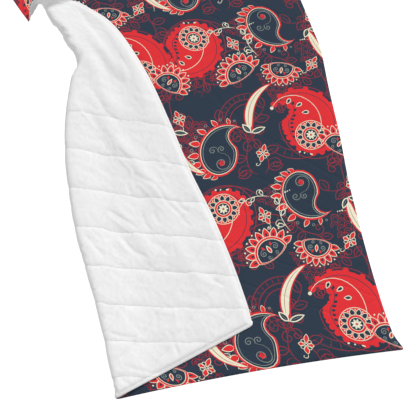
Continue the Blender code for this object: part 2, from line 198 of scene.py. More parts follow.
@dataclass
class FoldedForm:
    """The seam face between the two panels, from the right edge over the roll to the flap.

    A place on the cloth is (u, v): u is the distance from the right edge across the cloth,
    and v the distance from the near hem.
    """

    length: float = 2.0
    print_thick: float = 0.0025
    back_thick: float = 0.0050
    panel_gap: float = 0.0003
    layer_gap: float = 0.0020
    rim_reach: float = 0.030
    rim_thin: float = 0.45
    hem_bow: float = 0.014
    bow_reach: float = 0.30
    bow_centre: float = 0.08
    bow_half: float = 0.50
    settle_length: float = 0.15
    settle_share: float = 0.85
    table_step: float = 0.004
    lift_beyond: float = 0.25
    lift_over: float = 0.40
    lies_from: float = 110.0
    lies_over: float = 70.0
    steepest: float = 30.0
    normal_step: float = 0.0015
    shift: tuple[float, float] = (0.1224, -1.0)
    table: dict[str, Points] = field(default_factory=dict)

    def __post_init__(self) -> None:
        """Works out the sections between the stations."""
        rows = np.array([[s.along, s.right_x, s.fold_x, s.reach, s.lean, s.high, s.turn]
                         for s in STATIONS])
        places = np.arange(0.0, self.length + self.table_step / 2, self.table_step)
        values = np.array([self.between(rows, place) for place in places])
        names = ("right_x", "fold_x", "reach", "lean", "high", "turn")
        self.table = {"along": places}
        self.table.update({name: values[:, k] for k, name in enumerate(names)})

    @staticmethod
    def between(rows: Points, along: float) -> Points:
        """Section at a distance from the near hem, smooth and without overshoot.

        Args:
            rows: the stations as rows of numbers.
            along: distance from the near hem.

        Returns:
            The section's values after its distance.
        """
        last = len(rows) - 1
        low = min(int(np.searchsorted(rows[:, 0], along, side="right")) - 1, last - 1)
        before, start = rows[max(low - 1, 0)], rows[low]
        end, after = rows[low + 1], rows[min(low + 2, last)]
        span = end[0] - start[0]
        part = (along - start[0]) / span
        step = (end - start)[1:]
        lead = (end - before)[1:] / max(end[0] - before[0], span) * span
        trail = (after - start)[1:] / max(after[0] - start[0], span) * span
        lead, trail = (np.where(slope * step <= 0.0, 0.0, np.sign(step) * np.minimum(
            np.abs(slope), 3.0 * np.abs(step))) for slope in (lead, trail))
        square, cube = part ** 2, part ** 3
        return ((2 * cube - 3 * square + 1) * start[1:] + (cube - 2 * square + part) * lead
                + (3 * square - 2 * cube) * end[1:] + (cube - square) * trail)

    def at(self, name: str, v: Points) -> Points:
        """A value of the sections at distances from the near hem."""
        return np.interp(v, self.table["along"], self.table[name])

    def parts(self, v: Points) -> tuple[Points, Points, Points]:
        """Lengths across the cloth: the flat stretch, the roll and the flap.

        Args:
            v: distances from the near hem.

        Returns:
            The three lengths there.
        """
        high = self.at("high", v)
        flat = self.at("right_x", v) - self.at("fold_x", v) - high / 2
        return flat, math.pi * (high / 2 - self.back_thick), self.at("reach", v)

    def width(self, v: Points) -> Points:
        """Whole width of the cloth at distances from the near hem."""
        return sum(self.parts(v))

    def rim(self, distance: Points) -> Points:
        """Thickness at a distance from an edge, as a share of the full one."""
        return self.rim_thin + (1.0 - self.rim_thin) * ease(distance / self.rim_reach)

    def slant(self, v: Points) -> Points:
        """Cosine of the rows' lean beside the free edge."""
        return np.cos(np.radians(np.clip(self.at("lean", v), -self.steepest, self.steepest)))

    def edge_distance(self, u: Points, v: Points) -> Points:
        """Distance of a place on the cloth from its nearest edge."""
        free = (self.width(v) - u) * self.slant(v)
        return np.maximum(np.minimum.reduce([u, free, v, self.length - v]), 0.0)

    def bow(self, x: Points, v: Points) -> Points:
        """How far the near hem is drawn in at a place in plan."""
        share = 1.0 - ((x - self.bow_centre) / self.bow_half) ** 2
        return self.hem_bow * np.maximum(share, 0.0) * (1.0 - ease(v / self.bow_reach))

    def seam_height(self, rim: Points) -> Points:
        """Height of the seam face where the cloth lies on the surface."""
        return self.back_thick * rim + self.panel_gap / 2

    def place(self, u: Points, v: Points) -> Points:
        """Places of the seam face in space, before the shift to the frame's origin.

        Args:
            u: distances from the right edge.
            v: distances from the near hem.

        Returns:
            One row of x, y, z for each place.
        """
        flat, roll, reach = self.parts(v)
        right_x = self.at("right_x", v)
        lean = np.radians(self.at("lean", v))
        turn_degrees = self.at("turn", v)
        turn = np.radians(np.maximum(turn_degrees, 0.01))
        roll_x = right_x - flat
        end_rim = self.rim(np.minimum(v, self.length - v))
        share = np.clip((u - flat) / roll, 0.0, 1.0)
        run = np.maximum(u - flat - roll, 0.0)
        radius = roll / turn
        x = np.where(u <= flat, right_x - u, roll_x - radius * np.sin(turn * share))
        y = v + self.bow(np.where(u <= flat, x, roll_x), v)
        y += roll * np.sin(lean) * 0.5 * share
        flat_z = self.seam_height(np.minimum(self.rim(u), end_rim))
        roll_z = self.seam_height(end_rim) + radius * (1.0 - np.cos(turn * share))
        z = np.where(u <= flat, flat_z, roll_z)
        top_z = self.seam_height(end_rim) + radius * (1.0 - np.cos(turn))
        x = x - np.cos(turn) * np.cos(lean) * run
        y = y + np.sin(lean) * run
        z = z + np.sin(turn) * np.cos(lean) * run
        settle = ease(run / np.minimum(self.settle_length, self.settle_share * reach))
        rim = np.minimum(end_rim, self.rim(reach - run))
        rest = self.seam_height(1.0) + self.panel_gap + self.print_thick * (1.0 + rim)
        rest = rest + self.layer_gap + self.fold_lift(x, y, LIFTS)
        z = z + (rest - top_z) * settle * ease(
            (turn_degrees - self.lies_from) / self.lies_over)
        return np.stack([x, y, z], axis=1)

    def fold_lift(self, x: Points, y: Points, creases: Sequence[Crease]) -> Points:
        """Height of soft straight folds at places in plan: the highest of them.

        Args:
            x: places in plan.
            y: places in plan.
            creases: the folds.

        Returns:
            Heights at the places.
        """
        lift = np.zeros_like(x)
        for crease in creases:
            (start_x, start_y), (end_x, end_y) = crease.line
            run = np.array([end_x - start_x, end_y - start_y])
            length = np.hypot(*run)
            part = ((x - start_x) * run[0] + (y - start_y) * run[1]) / length ** 2
            side = np.abs((x - start_x) * run[1] - (y - start_y) * run[0]) / length
            ends = (ease((part + self.lift_beyond) / self.lift_over)
                    * ease((1.0 + self.lift_beyond - part) / self.lift_over))
            lift = np.maximum(lift, crease.height * ends * np.exp(-(side / crease.half) ** 2))
        return lift

    def normals(self, u: Points, v: Points) -> Points:
        """Unit normals of the seam face, pointing to the printed side.

        Args:
            u: distances from the right edge.
            v: distances from the near hem.

        Returns:
            One unit vector for each place.
        """
        step = self.normal_step
        low_u, high_u = np.maximum(u - step, 0.0), np.minimum(u + step, self.width(v))
        low_v, high_v = np.maximum(v - step, 0.0), np.minimum(v + step, self.length)
        across = self.place(high_u, v) - self.place(low_u, v)
        along = self.place(u, high_v) - self.place(u, low_v)
        normals = np.cross(along, across)
        return normals / np.linalg.norm(normals, axis=1, keepdims=True)

    def shifted(self, places: Points) -> Points:
        """Places in the frame of the CAD."""
        return places + np.array([self.shift[0], self.shift[1], 0.0])


# Meshing of a closed sheet from flat drawings of its two faces

@dataclass
class FlatMesh:
    """Triangles in the cloth's own plane.

    places: (u, v) of each point. faces: three points each, in a turn to the left.
    """

    places: Points
    faces: Points

    def sides(self) -> tuple[Points, Points]:
        """Every face's three sides as pairs of points, and the face of each side."""
        pairs = np.concatenate([self.faces[:, [k, (k + 1) % 3]] for k in range(3)])
        return pairs, np.tile(np.arange(len(self.faces)), 3)

    def border(self) -> list[int]:
        """Indexes of the points round the rim, in a turn to the left.

        Returns:
            The indexes.
        """
        pairs, _ = self.sides()
        count = len(self.places)
        lone = ~np.isin(pairs[:, 0] * count + pairs[:, 1], pairs[:, 1] * count + pairs[:, 0])
        onward = dict(pairs[lone].tolist())
        start = min(onward)
        loop = [start]
        while onward[loop[-1]] != start:
            loop.append(onward[loop[-1]])
        return loop

    def edges_between(self, inks: Points) -> Points:
        """Pairs of points of the sides that two different inks share.

        Args:
            inks: each face's ink.

        Returns:
            The pairs.
        """
        pairs, owners = self.sides()
        keys = np.minimum(*pairs.T) * len(self.places) + np.maximum(*pairs.T)
        order = np.argsort(keys, kind="stable")
        first, second = order[:-1], order[1:]
        shared = keys[first] == keys[second]
        differs = inks[owners[first]] != inks[owners[second]]
        return pairs[first[shared & differs]]


def flat_mesh(outline: Points, spots: Points, lines: Points | None = None,
              edges: Sequence[tuple[int, int]] = ()) -> FlatMesh:
    """Triangulates the inside of an outline.

    Args:
        outline: corners of the cloth, in a turn to the left.
        spots: single points that the mesh has to have.
        lines: ends of drawn lines that the mesh has to follow.
        edges: pairs of those ends.

    Returns:
        The triangles inside the outline.
    """
    lines = np.zeros((0, 2)) if lines is None else lines
    given = [Vector(p) for p in np.concatenate([outline, lines, spots]).tolist()]
    moved = (np.array(edges, dtype=int).reshape(-1, 2) + len(outline)).tolist()
    found, _, faces, _, _, owners = delaunay_2d_cdt(
        given, moved, [list(range(len(outline)))], 1, SAME_PLACE, True)
    kept = np.array([list(face) for face, owner in zip(faces, owners) if owner])
    used, renumbered = np.unique(kept, return_inverse=True)
    places = np.array([found[index][:] for index in used])
    return FlatMesh(places, renumbered.reshape(kept.shape))


def shape_lines(shapes: Sequence[Points]) -> tuple[Points, list[tuple[int, int]]]:
    """The sides of closed shapes as points and pairs of them.

    Args:
        shapes: closed polygons.

    Returns:
        The points, and pairs of their indexes.
    """
    edges, count = [], 0
    for shape in shapes:
        edges += [(count + k, count + (k + 1) % len(shape)) for k in range(len(shape))]
        count += len(shape)
    return np.concatenate(list(shapes)), edges


def painted(mesh: FlatMesh, shapes: Sequence[Points], cell: float = 0.012) -> Points:
    """Finds the last shape that lies over each triangle's middle.

    Args:
        mesh: the triangles.
        shapes: closed polygons in the order in which they are drawn.
        cell: side of the squares that sort the triangles.

    Returns:
        The shape's number from 1 for each triangle, or 0 for bare ground.
    """
    middles = mesh.places[mesh.faces].mean(axis=1)
    rows = 4096
    square = (middles // cell).astype(int)
    keys = square[:, 0] * rows + square[:, 1]
    order = np.argsort(keys, kind="stable")
    keys = keys[order]
    owners = np.zeros(len(middles), dtype=int)
    for number, shape in enumerate(shapes, start=1):
        low = np.maximum(shape.min(axis=0) // cell, 0).astype(int)
        high = np.maximum(shape.max(axis=0) // cell, 0).astype(int)
        columns = np.arange(low[0], high[0] + 1) * rows
        starts = np.searchsorted(keys, columns + low[1])
        ends = np.searchsorted(keys, columns + high[1] + 1)
        near = np.concatenate([order[a:b] for a, b in zip(starts, ends)])
        owners[near[wound_round(middles[near], shape)]] = number
    return owners


def wound_round(places: Points, shape: Points) -> Points:
    """Whether a closed line winds round each place.

    Args:
        places: places to test.
        shape: corners of the line.

    Returns:
        True for each place inside.
    """
    x, y = places[:, 0, None], places[:, 1, None]
    start_x, start_y = shape[None, :, 0], shape[None, :, 1]
    end_x, end_y = np.roll(start_x, -1, axis=1), np.roll(start_y, -1, axis=1)
    left = (end_x - start_x) * (y - start_y) - (x - start_x) * (end_y - start_y)
    up = (start_y <= y) & (end_y > y) & (left > 0)
    down = (start_y > y) & (end_y <= y) & (left < 0)
    return up.sum(axis=1) != down.sum(axis=1)


class Zone(Enum):
    """The stretch that lies flat, or the part beyond the roll."""

    FLAT = "flat"
    FLAP = "flap"


@dataclass
class Cutting:
    """The cut outline of the cloth and the spots of its coarse inner faces."""

    form: FoldedForm
    edge_step: float = 0.008
    corner: float = 0.010
    roll_step: float = 0.0026
    roll_row: float = 0.020
    roll_overlap: float = 0.08
    curl: tuple[float, float] = (1.46, 1.70)
    flat_step: float = 0.050
    flap_step: float = 0.014
    widest: float = 1.60
    flat_clear: float = 0.006
    flap_clear: float = 0.005
    rows_in: tuple[float, ...] = (0.004, 0.010, 0.020, 0.030)
    row_step: float = 0.016
    clear_of_rows: float = 0.035

    def outline(self) -> Points:
        """The cloth's edge in (u, v), in a turn to the left, its corners rounded.

        Returns:
            The corners.
        """
        r, length = self.corner, self.form.length
        near_w, far_w = self.form.width(np.array([0.0, length]))
        near = np.arange(r + self.edge_step, near_w - r - self.edge_step / 2, self.edge_step)
        far = np.arange(far_w - r - self.edge_step, r + self.edge_step / 2, -self.edge_step)
        side = np.arange(r + self.edge_step, length - r - self.edge_step / 2, self.edge_step)
        return np.concatenate([
            self.rounded(r, r, 180.0),
            np.stack([near, np.zeros_like(near)], axis=1),
            self.rounded(near_w - r, r, 270.0),
            np.stack([self.form.width(side), side], axis=1),
            self.rounded(far_w - r, length - r, 0.0),
            np.stack([far, np.full_like(far, length)], axis=1),
            self.rounded(r, length - r, 90.0),
            np.stack([np.zeros_like(side), side[::-1]], axis=1),
        ])

    def rounded(self, centre_u: float, centre_v: float, start: float) -> Points:
        """A quarter turn to the left round a corner's centre, from an angle in degrees.

        Args:
            centre_u: the centre's place across the cloth.
            centre_v: the centre's place along it.
            start: the angle.

        Returns:
            Five points.
        """
        angles = np.radians(start + np.linspace(0.0, 90.0, 5))
        return np.stack([centre_u + self.corner * np.cos(angles),
                         centre_v + self.corner * np.sin(angles)], axis=1)

    def inside(self, spots: Points, margin: float) -> Points:
        """The spots that lie at least a margin inside the cloth's edge."""
        return spots[self.form.edge_distance(spots[:, 0], spots[:, 1]) > margin]

    def rim_spots(self, offsets: Sequence[float], step: float) -> Points:
        """Rows of spots along the four edges at distances inside them.

        Args:
            offsets: the distances.
            step: distance between spots.

        Returns:
            The spots.
        """
        form = self.form
        rows = []
        v = np.arange(0.0, form.length, step)
        wide = np.arange(0.0, float(form.width(v).max()), step)
        slant = form.slant(v)
        for offset in offsets:
            rows.append(np.stack([np.full_like(v, offset), v], axis=1))
            rows.append(np.stack([form.width(v) - offset / slant, v], axis=1))
            rows.append(np.stack([wide, np.full_like(wide, offset)], axis=1))
            rows.append(np.stack([wide, np.full_like(wide, form.length - offset)], axis=1))
        return self.inside(np.concatenate(rows), min(offsets) * 0.9)

    def roll_spots(self) -> Points:
        """Close columns of spots round the roll.

        Returns:
            The spots.
        """
        form = self.form
        v = np.arange(self.roll_row / 2, form.length, self.roll_row)
        curl = np.arange(*self.curl, self.roll_row / 2)
        v = np.unique(np.round(np.concatenate([v, curl]), 6))
        flat, roll, _ = form.parts(v)
        shares = np.linspace(-self.roll_overlap, 1.0 + self.roll_overlap,
                             int(float(roll.max()) / self.roll_step))
        u = flat[:, None] + roll[:, None] * shares[None, :]
        return self.inside(np.stack([u.ravel(), np.repeat(v, len(shares))], axis=1), 0.002)

    def grid_spots(self, step: float, zone: Zone, margin: float) -> Points:
        """An even staggered grid of spots in one zone of the cloth.

        Args:
            step: distance between spots.
            zone: where the grid lies.
            margin: distance kept from the edges.

        Returns:
            The spots.
        """
        form = self.form
        u, v = np.meshgrid(np.arange(0.0, self.widest, step),
                           np.arange(step / 2, form.length, step * math.sqrt(3) / 2))
        u = u + np.where(np.arange(len(v)) % 2, step / 2, 0.0)[:, None]
        spots = np.stack([u.ravel(), v.ravel()], axis=1)
        flat, roll, _ = form.parts(spots[:, 1])
        if zone is Zone.FLAT:
            spots = spots[spots[:, 0] < flat - self.flat_clear]
        else:
            spots = spots[spots[:, 0] > flat + roll + self.flap_clear]
        return self.inside(spots, margin)

    def seam_spots(self) -> Points:
        """Spots of the two faces that lie against each other."""
        return np.concatenate([
            self.rim_spots(self.rows_in, self.row_step),
            self.roll_spots(),
            self.grid_spots(self.flat_step, Zone.FLAT, self.clear_of_rows),
            self.grid_spots(self.flap_step, Zone.FLAP, self.clear_of_rows),
        ])


@dataclass
class ClosedSheet:
    """One closed solid of cloth between a face on the printed side and one on the back's."""

    name: str
    front: FlatMesh
    front_places: Points
    rear: FlatMesh
    rear_places: Points

    def build(self) -> bpy.types.Object:
        """Joins the two faces round the rim and makes the object.

        Returns:
            The sheet, with its (u, v) in a UV map in metres.
        """
        count = len(self.front_places)
        faces = self.front.faces[:, ::-1].tolist() + (self.rear.faces + count).tolist()
        rims = self.matched_rims()
        for (a, c), (b, d) in zip(rims, rims[1:] + rims[:1]):
            faces.append([a, b, d + count, c + count])
        data = bpy.data.meshes.new(self.name)
        places = np.concatenate([self.front_places, self.rear_places])
        data.from_pydata(places.tolist(), [], faces)
        cloth = np.concatenate([self.front.places, self.rear.places])
        layer = data.uv_layers.new(name="cloth")
        corners = np.zeros(len(data.loops), dtype=np.int32)
        data.loops.foreach_get("vertex_index", corners)
        layer.data.foreach_set("uv", cloth[corners].astype(np.float32).ravel())
        data.shade_smooth()
        item = bpy.data.objects.new(self.name, data)
        bpy.context.scene.collection.objects.link(item)
        return item

    def matched_rims(self) -> list[tuple[int, int]]:
        """Pairs of points of the two faces' rims, in order round the cloth.

        Returns:
            The pairs.
        """
        rear = {self.key(self.rear.places[index]): index for index in self.rear.border()}
        return [(index, rear[self.key(self.front.places[index])])
                for index in self.front.border()]

    @staticmethod
    def key(place: Points) -> tuple[float, float]:
        """A place's name for matching."""
        return round(float(place[0]), 6), round(float(place[1]), 6)


# The print: curves in millimetres, motifs made of them, and the repeat

class Ink(IntEnum):
    """Colours of the print, in the order in which their tables are kept."""

    GROUND = 0
    RED = 1
    LINE = 2
    CREAM = 3
    CURL = 4


INK_COLOURS = {
    Ink.GROUND: "313d4d",
    Ink.RED: "e5343a",
    Ink.LINE: "a8343f",
    Ink.CREAM: "edebd0",
    Ink.CURL: "8f9a93",
}


def arc(radius: float, start: float, end: float, count: int,
        centre: tuple[float, float] = (0.0, 0.0), squash: float = 1.0) -> Points:
    """Points on a circle or a squashed one, between two angles in degrees.

    Args:
        radius: its radius across.
        start: first angle.
        end: last angle.
        count: number of points.
        centre: its centre.
        squash: its height as a share of its width.

    Returns:
        The points.
    """
    angles = np.radians(np.linspace(start, end, count))
    return np.stack([centre[0] + radius * np.cos(angles),
                     centre[1] + radius * squash * np.sin(angles)], axis=1)


def disc(radius: float, count: int, centre: tuple[float, float] = (0.0, 0.0),
         squash: float = 1.0) -> Points:
    """Corners of a round or squashed shape."""
    return arc(radius, 0.0, 360.0 * (1 - 1 / count), count, centre, squash)


def spiral(outer: float, inner: float, start: float, turns: float, count: int) -> Points:
    """A curl that winds in from its outer radius to its inner one.

    Args:
        outer: outer radius.
        inner: inner radius.
        start: first angle in degrees.
        turns: turns to the left.
        count: number of points.

    Returns:
        The points.
    """
    share = np.linspace(0.0, 1.0, count)
    radius = outer * (inner / outer) ** share
    angles = np.radians(start) + turns * 2 * math.pi * share
    return np.stack([radius * np.cos(angles), radius * np.sin(angles)], axis=1)


def winding(length: float, turns: Sequence[float], count: int, crowd: float = 1.0) -> Points:
    """A path from the origin that starts towards +Y.

    Args:
        length: its length.
        turns: its heading's turn from +Y in degrees, at even steps along it.
        count: number of points.
        crowd: 1 for even steps, more for shorter ones at its start.

    Returns:
        The points.
    """
    share = np.linspace(0.0, 1.0, count) ** crowd
    middle = (share[1:] + share[:-1]) / 2
    heading = np.radians(np.interp(middle, np.linspace(0.0, 1.0, len(turns)), turns))
    steps = np.stack([np.sin(heading), np.cos(heading)], axis=1) * np.diff(share)[:, None]
    return np.concatenate([np.zeros((1, 2)), np.cumsum(steps * length, axis=0)])


def sideways(path: Points) -> Points:
    """Unit vectors to the left of a path at its points.

    Args:
        path: the path.

    Returns:
        One unit vector for each point.
    """
    along = np.gradient(path, axis=0)
    along /= np.maximum(np.linalg.norm(along, axis=1, keepdims=True), 1e-9)
    return np.stack([-along[:, 1], along[:, 0]], axis=1)


def blade(path: Points, halves: Points) -> Points:
    """A closed shape about a path, from its half widths at the path's points."""
    side = sideways(path) * halves[:, None]
    return np.concatenate([path - side, (path + side)[::-1][1 if halves[-1] < 0.01 else 0:]])


def swell(count: int, half: float, fat_at: float, power: float = 0.8) -> Points:
    """Half widths of a leaf: nothing at both ends, fullest at a share of its length."""
    share = np.linspace(0.0, 1.0, count) ** (math.log(0.5) / math.log(fat_at))
    return half * np.sin(math.pi * share) ** power


def petal(length: float, half: float, fat_at: float = 0.4, start: float = 0.0,
          count: int = 7) -> Points:
    """A straight leaf shape along +Y, from a distance above the origin."""
    path = np.stack([np.zeros(count), start + np.linspace(0.0, length, count)], axis=1)
    return blade(path, swell(count, half, fat_at))[:-1]


@dataclass(frozen=True)
class Spot:
    """Where a motif stands: millimetres, degrees to the left, size, mirrored or not."""

    x: float
    y: float
    turn: float = 0.0
    size: float = 1.0
    mirror: bool = False

    def placed(self, points: Points) -> Points:
        """A motif's own points as they stand in the repeat.

        Args:
            points: points in the motif's own millimetres.

        Returns:
            The points in the repeat.
        """
        points = np.asarray(points, dtype=float) * self.size
        if self.mirror:
            points = points * np.array([-1.0, 1.0])
        angle = math.radians(self.turn)
        turned = points @ np.array([[math.cos(angle), math.sin(angle)],
                                    [-math.sin(angle), math.cos(angle)]])
        return turned + np.array([self.x, self.y])

    def within(self, x: float, y: float, turn: float = 0.0, size: float = 1.0,
               mirror: bool = False) -> "Spot":
        """A spot that is given in this one's own millimetres.

        Args:
            x: place.
            y: place.
            turn: degrees to the left.
            size: size against this spot's.
            mirror: whether it is mirrored.

        Returns:
            The new spot.
        """
        place = self.placed(np.array([[x, y]]))[0]
        turned = self.turn + (-turn if self.mirror else turn)
        return Spot(place[0], place[1], turned, self.size * size, self.mirror != mirror)


class Drawing:
    """Shapes of the print in the order in which they are drawn."""

    def __init__(self) -> None:
        """Starts with bare ground."""
        self.shapes: list[tuple[Ink, Points]] = []

    def fill(self, spot: Spot, ink: Ink, points: Points) -> None:
        """Draws a closed shape."""
        self.shapes.append((ink, spot.placed(points)))

    def stroke(self, spot: Spot, ink: Ink, path: Points, width: float,
               pointed: bool = True) -> None:
        """Draws a line, thinner towards its ends where it is pointed.

        Args:
            spot: where it stands.
            ink: its colour.
            path: its middle line.
            width: its width.
            pointed: whether its ends are thin.
        """
        placed = spot.placed(path)
        share = np.linspace(0.0, 1.0, len(placed))
        ends = ease(np.minimum(share, 1.0 - share) / 0.2) if pointed else np.ones_like(share)
        side = sideways(placed) * (width / 2 * (0.4 + 0.6 * ends))[:, None]
        self.shapes.append((ink, np.concatenate([placed - side, (placed + side)[::-1]])))

    def ring(self, spot: Spot, ink: Ink, points: Points, width: float) -> None:
        """Draws a line round a closed shape.

        Args:
            spot: where it stands.
            ink: its colour.
            points: the shape's corners.
            width: the line's width.
        """
        placed = spot.placed(points)
        placed = np.concatenate([placed[-1:], placed, placed[:2]])
        side = sideways(placed)[1:-1] * width / 2
        placed = placed[1:-1]
        self.shapes.append((ink, np.concatenate([placed - side, (placed + side)[::-1]])))


class Motif(Enum):
    """The print's motifs, each named after the method that draws it."""

    VINE = "vine"
    SCALES = "scales"
    HALO = "halo"
    CRESCENT = "crescent"
    PAISLEY = "paisley"
    DARK_PAISLEY = "dark_paisley"
    FAN = "fan"
    SPRAY = "spray"
    FLORET = "floret"


# Where the motifs stand in the repeat: millimetres, degrees to the left, size, mirrored
LAYOUT: dict[Motif, tuple[tuple[float, float, float, float, bool], ...]] = {
    Motif.VINE: ((300, -20, 12, 1.25, False), (600, 330, -24, 1.2, True),
                 (60, 560, 40, 1.2, False), (330, 700, -30, 1.2, True),
                 (30, 250, 20, 1.2, False), (470, 90, -60, 1.2, True),
                 (240, 250, 70, 1.0, False), (560, 470, 110, 1.0, True),
                 (230, 520, 160, 1.0, False), (400, 430, -80, 0.9, True)),
    Motif.SCALES: ((556, 150, 8, 1.1, False), (20, 440, -20, 1.1, False),
                   (282, 560, 30, 1.1, False), (250, 330, 70, 1.0, False)),
    Motif.HALO: ((150, 170, 150, 1.6, False), (455, 520, -20, 1.6, False),
                 (330, 200, -60, 1.2, False), (20, 40, 40, 1.5, False),
                 (330, 400, -28, 1.5, False)),
    Motif.CRESCENT: ((330, 150, 14, 1.3, False), (20, 560, 166, 1.25, True)),
    Motif.PAISLEY: ((140, 40, 16, 1.18, False), (470, 660, 192, 1.14, True)),
    Motif.DARK_PAISLEY: ((440, 0, -12, 1.28, False), (160, 690, 194, 1.22, True)),
    Motif.FAN: ((330, 400, -28, 1.12, False), (20, 40, 40, 1.05, False),
                (168, 408, 196, 0.95, False)),
    Motif.SPRAY: ((590, 20, 12, 1.2, False), (250, 470, -32, 1.2, True),
                  (300, 610, -70, 1.0, False)),
    Motif.FLORET: ((300, 60, 20, 1.0, False), (590, 250, -16, 1.0, False),
                   (50, 400, 40, 1.0, False), (330, 540, -20, 1.0, False)),
}


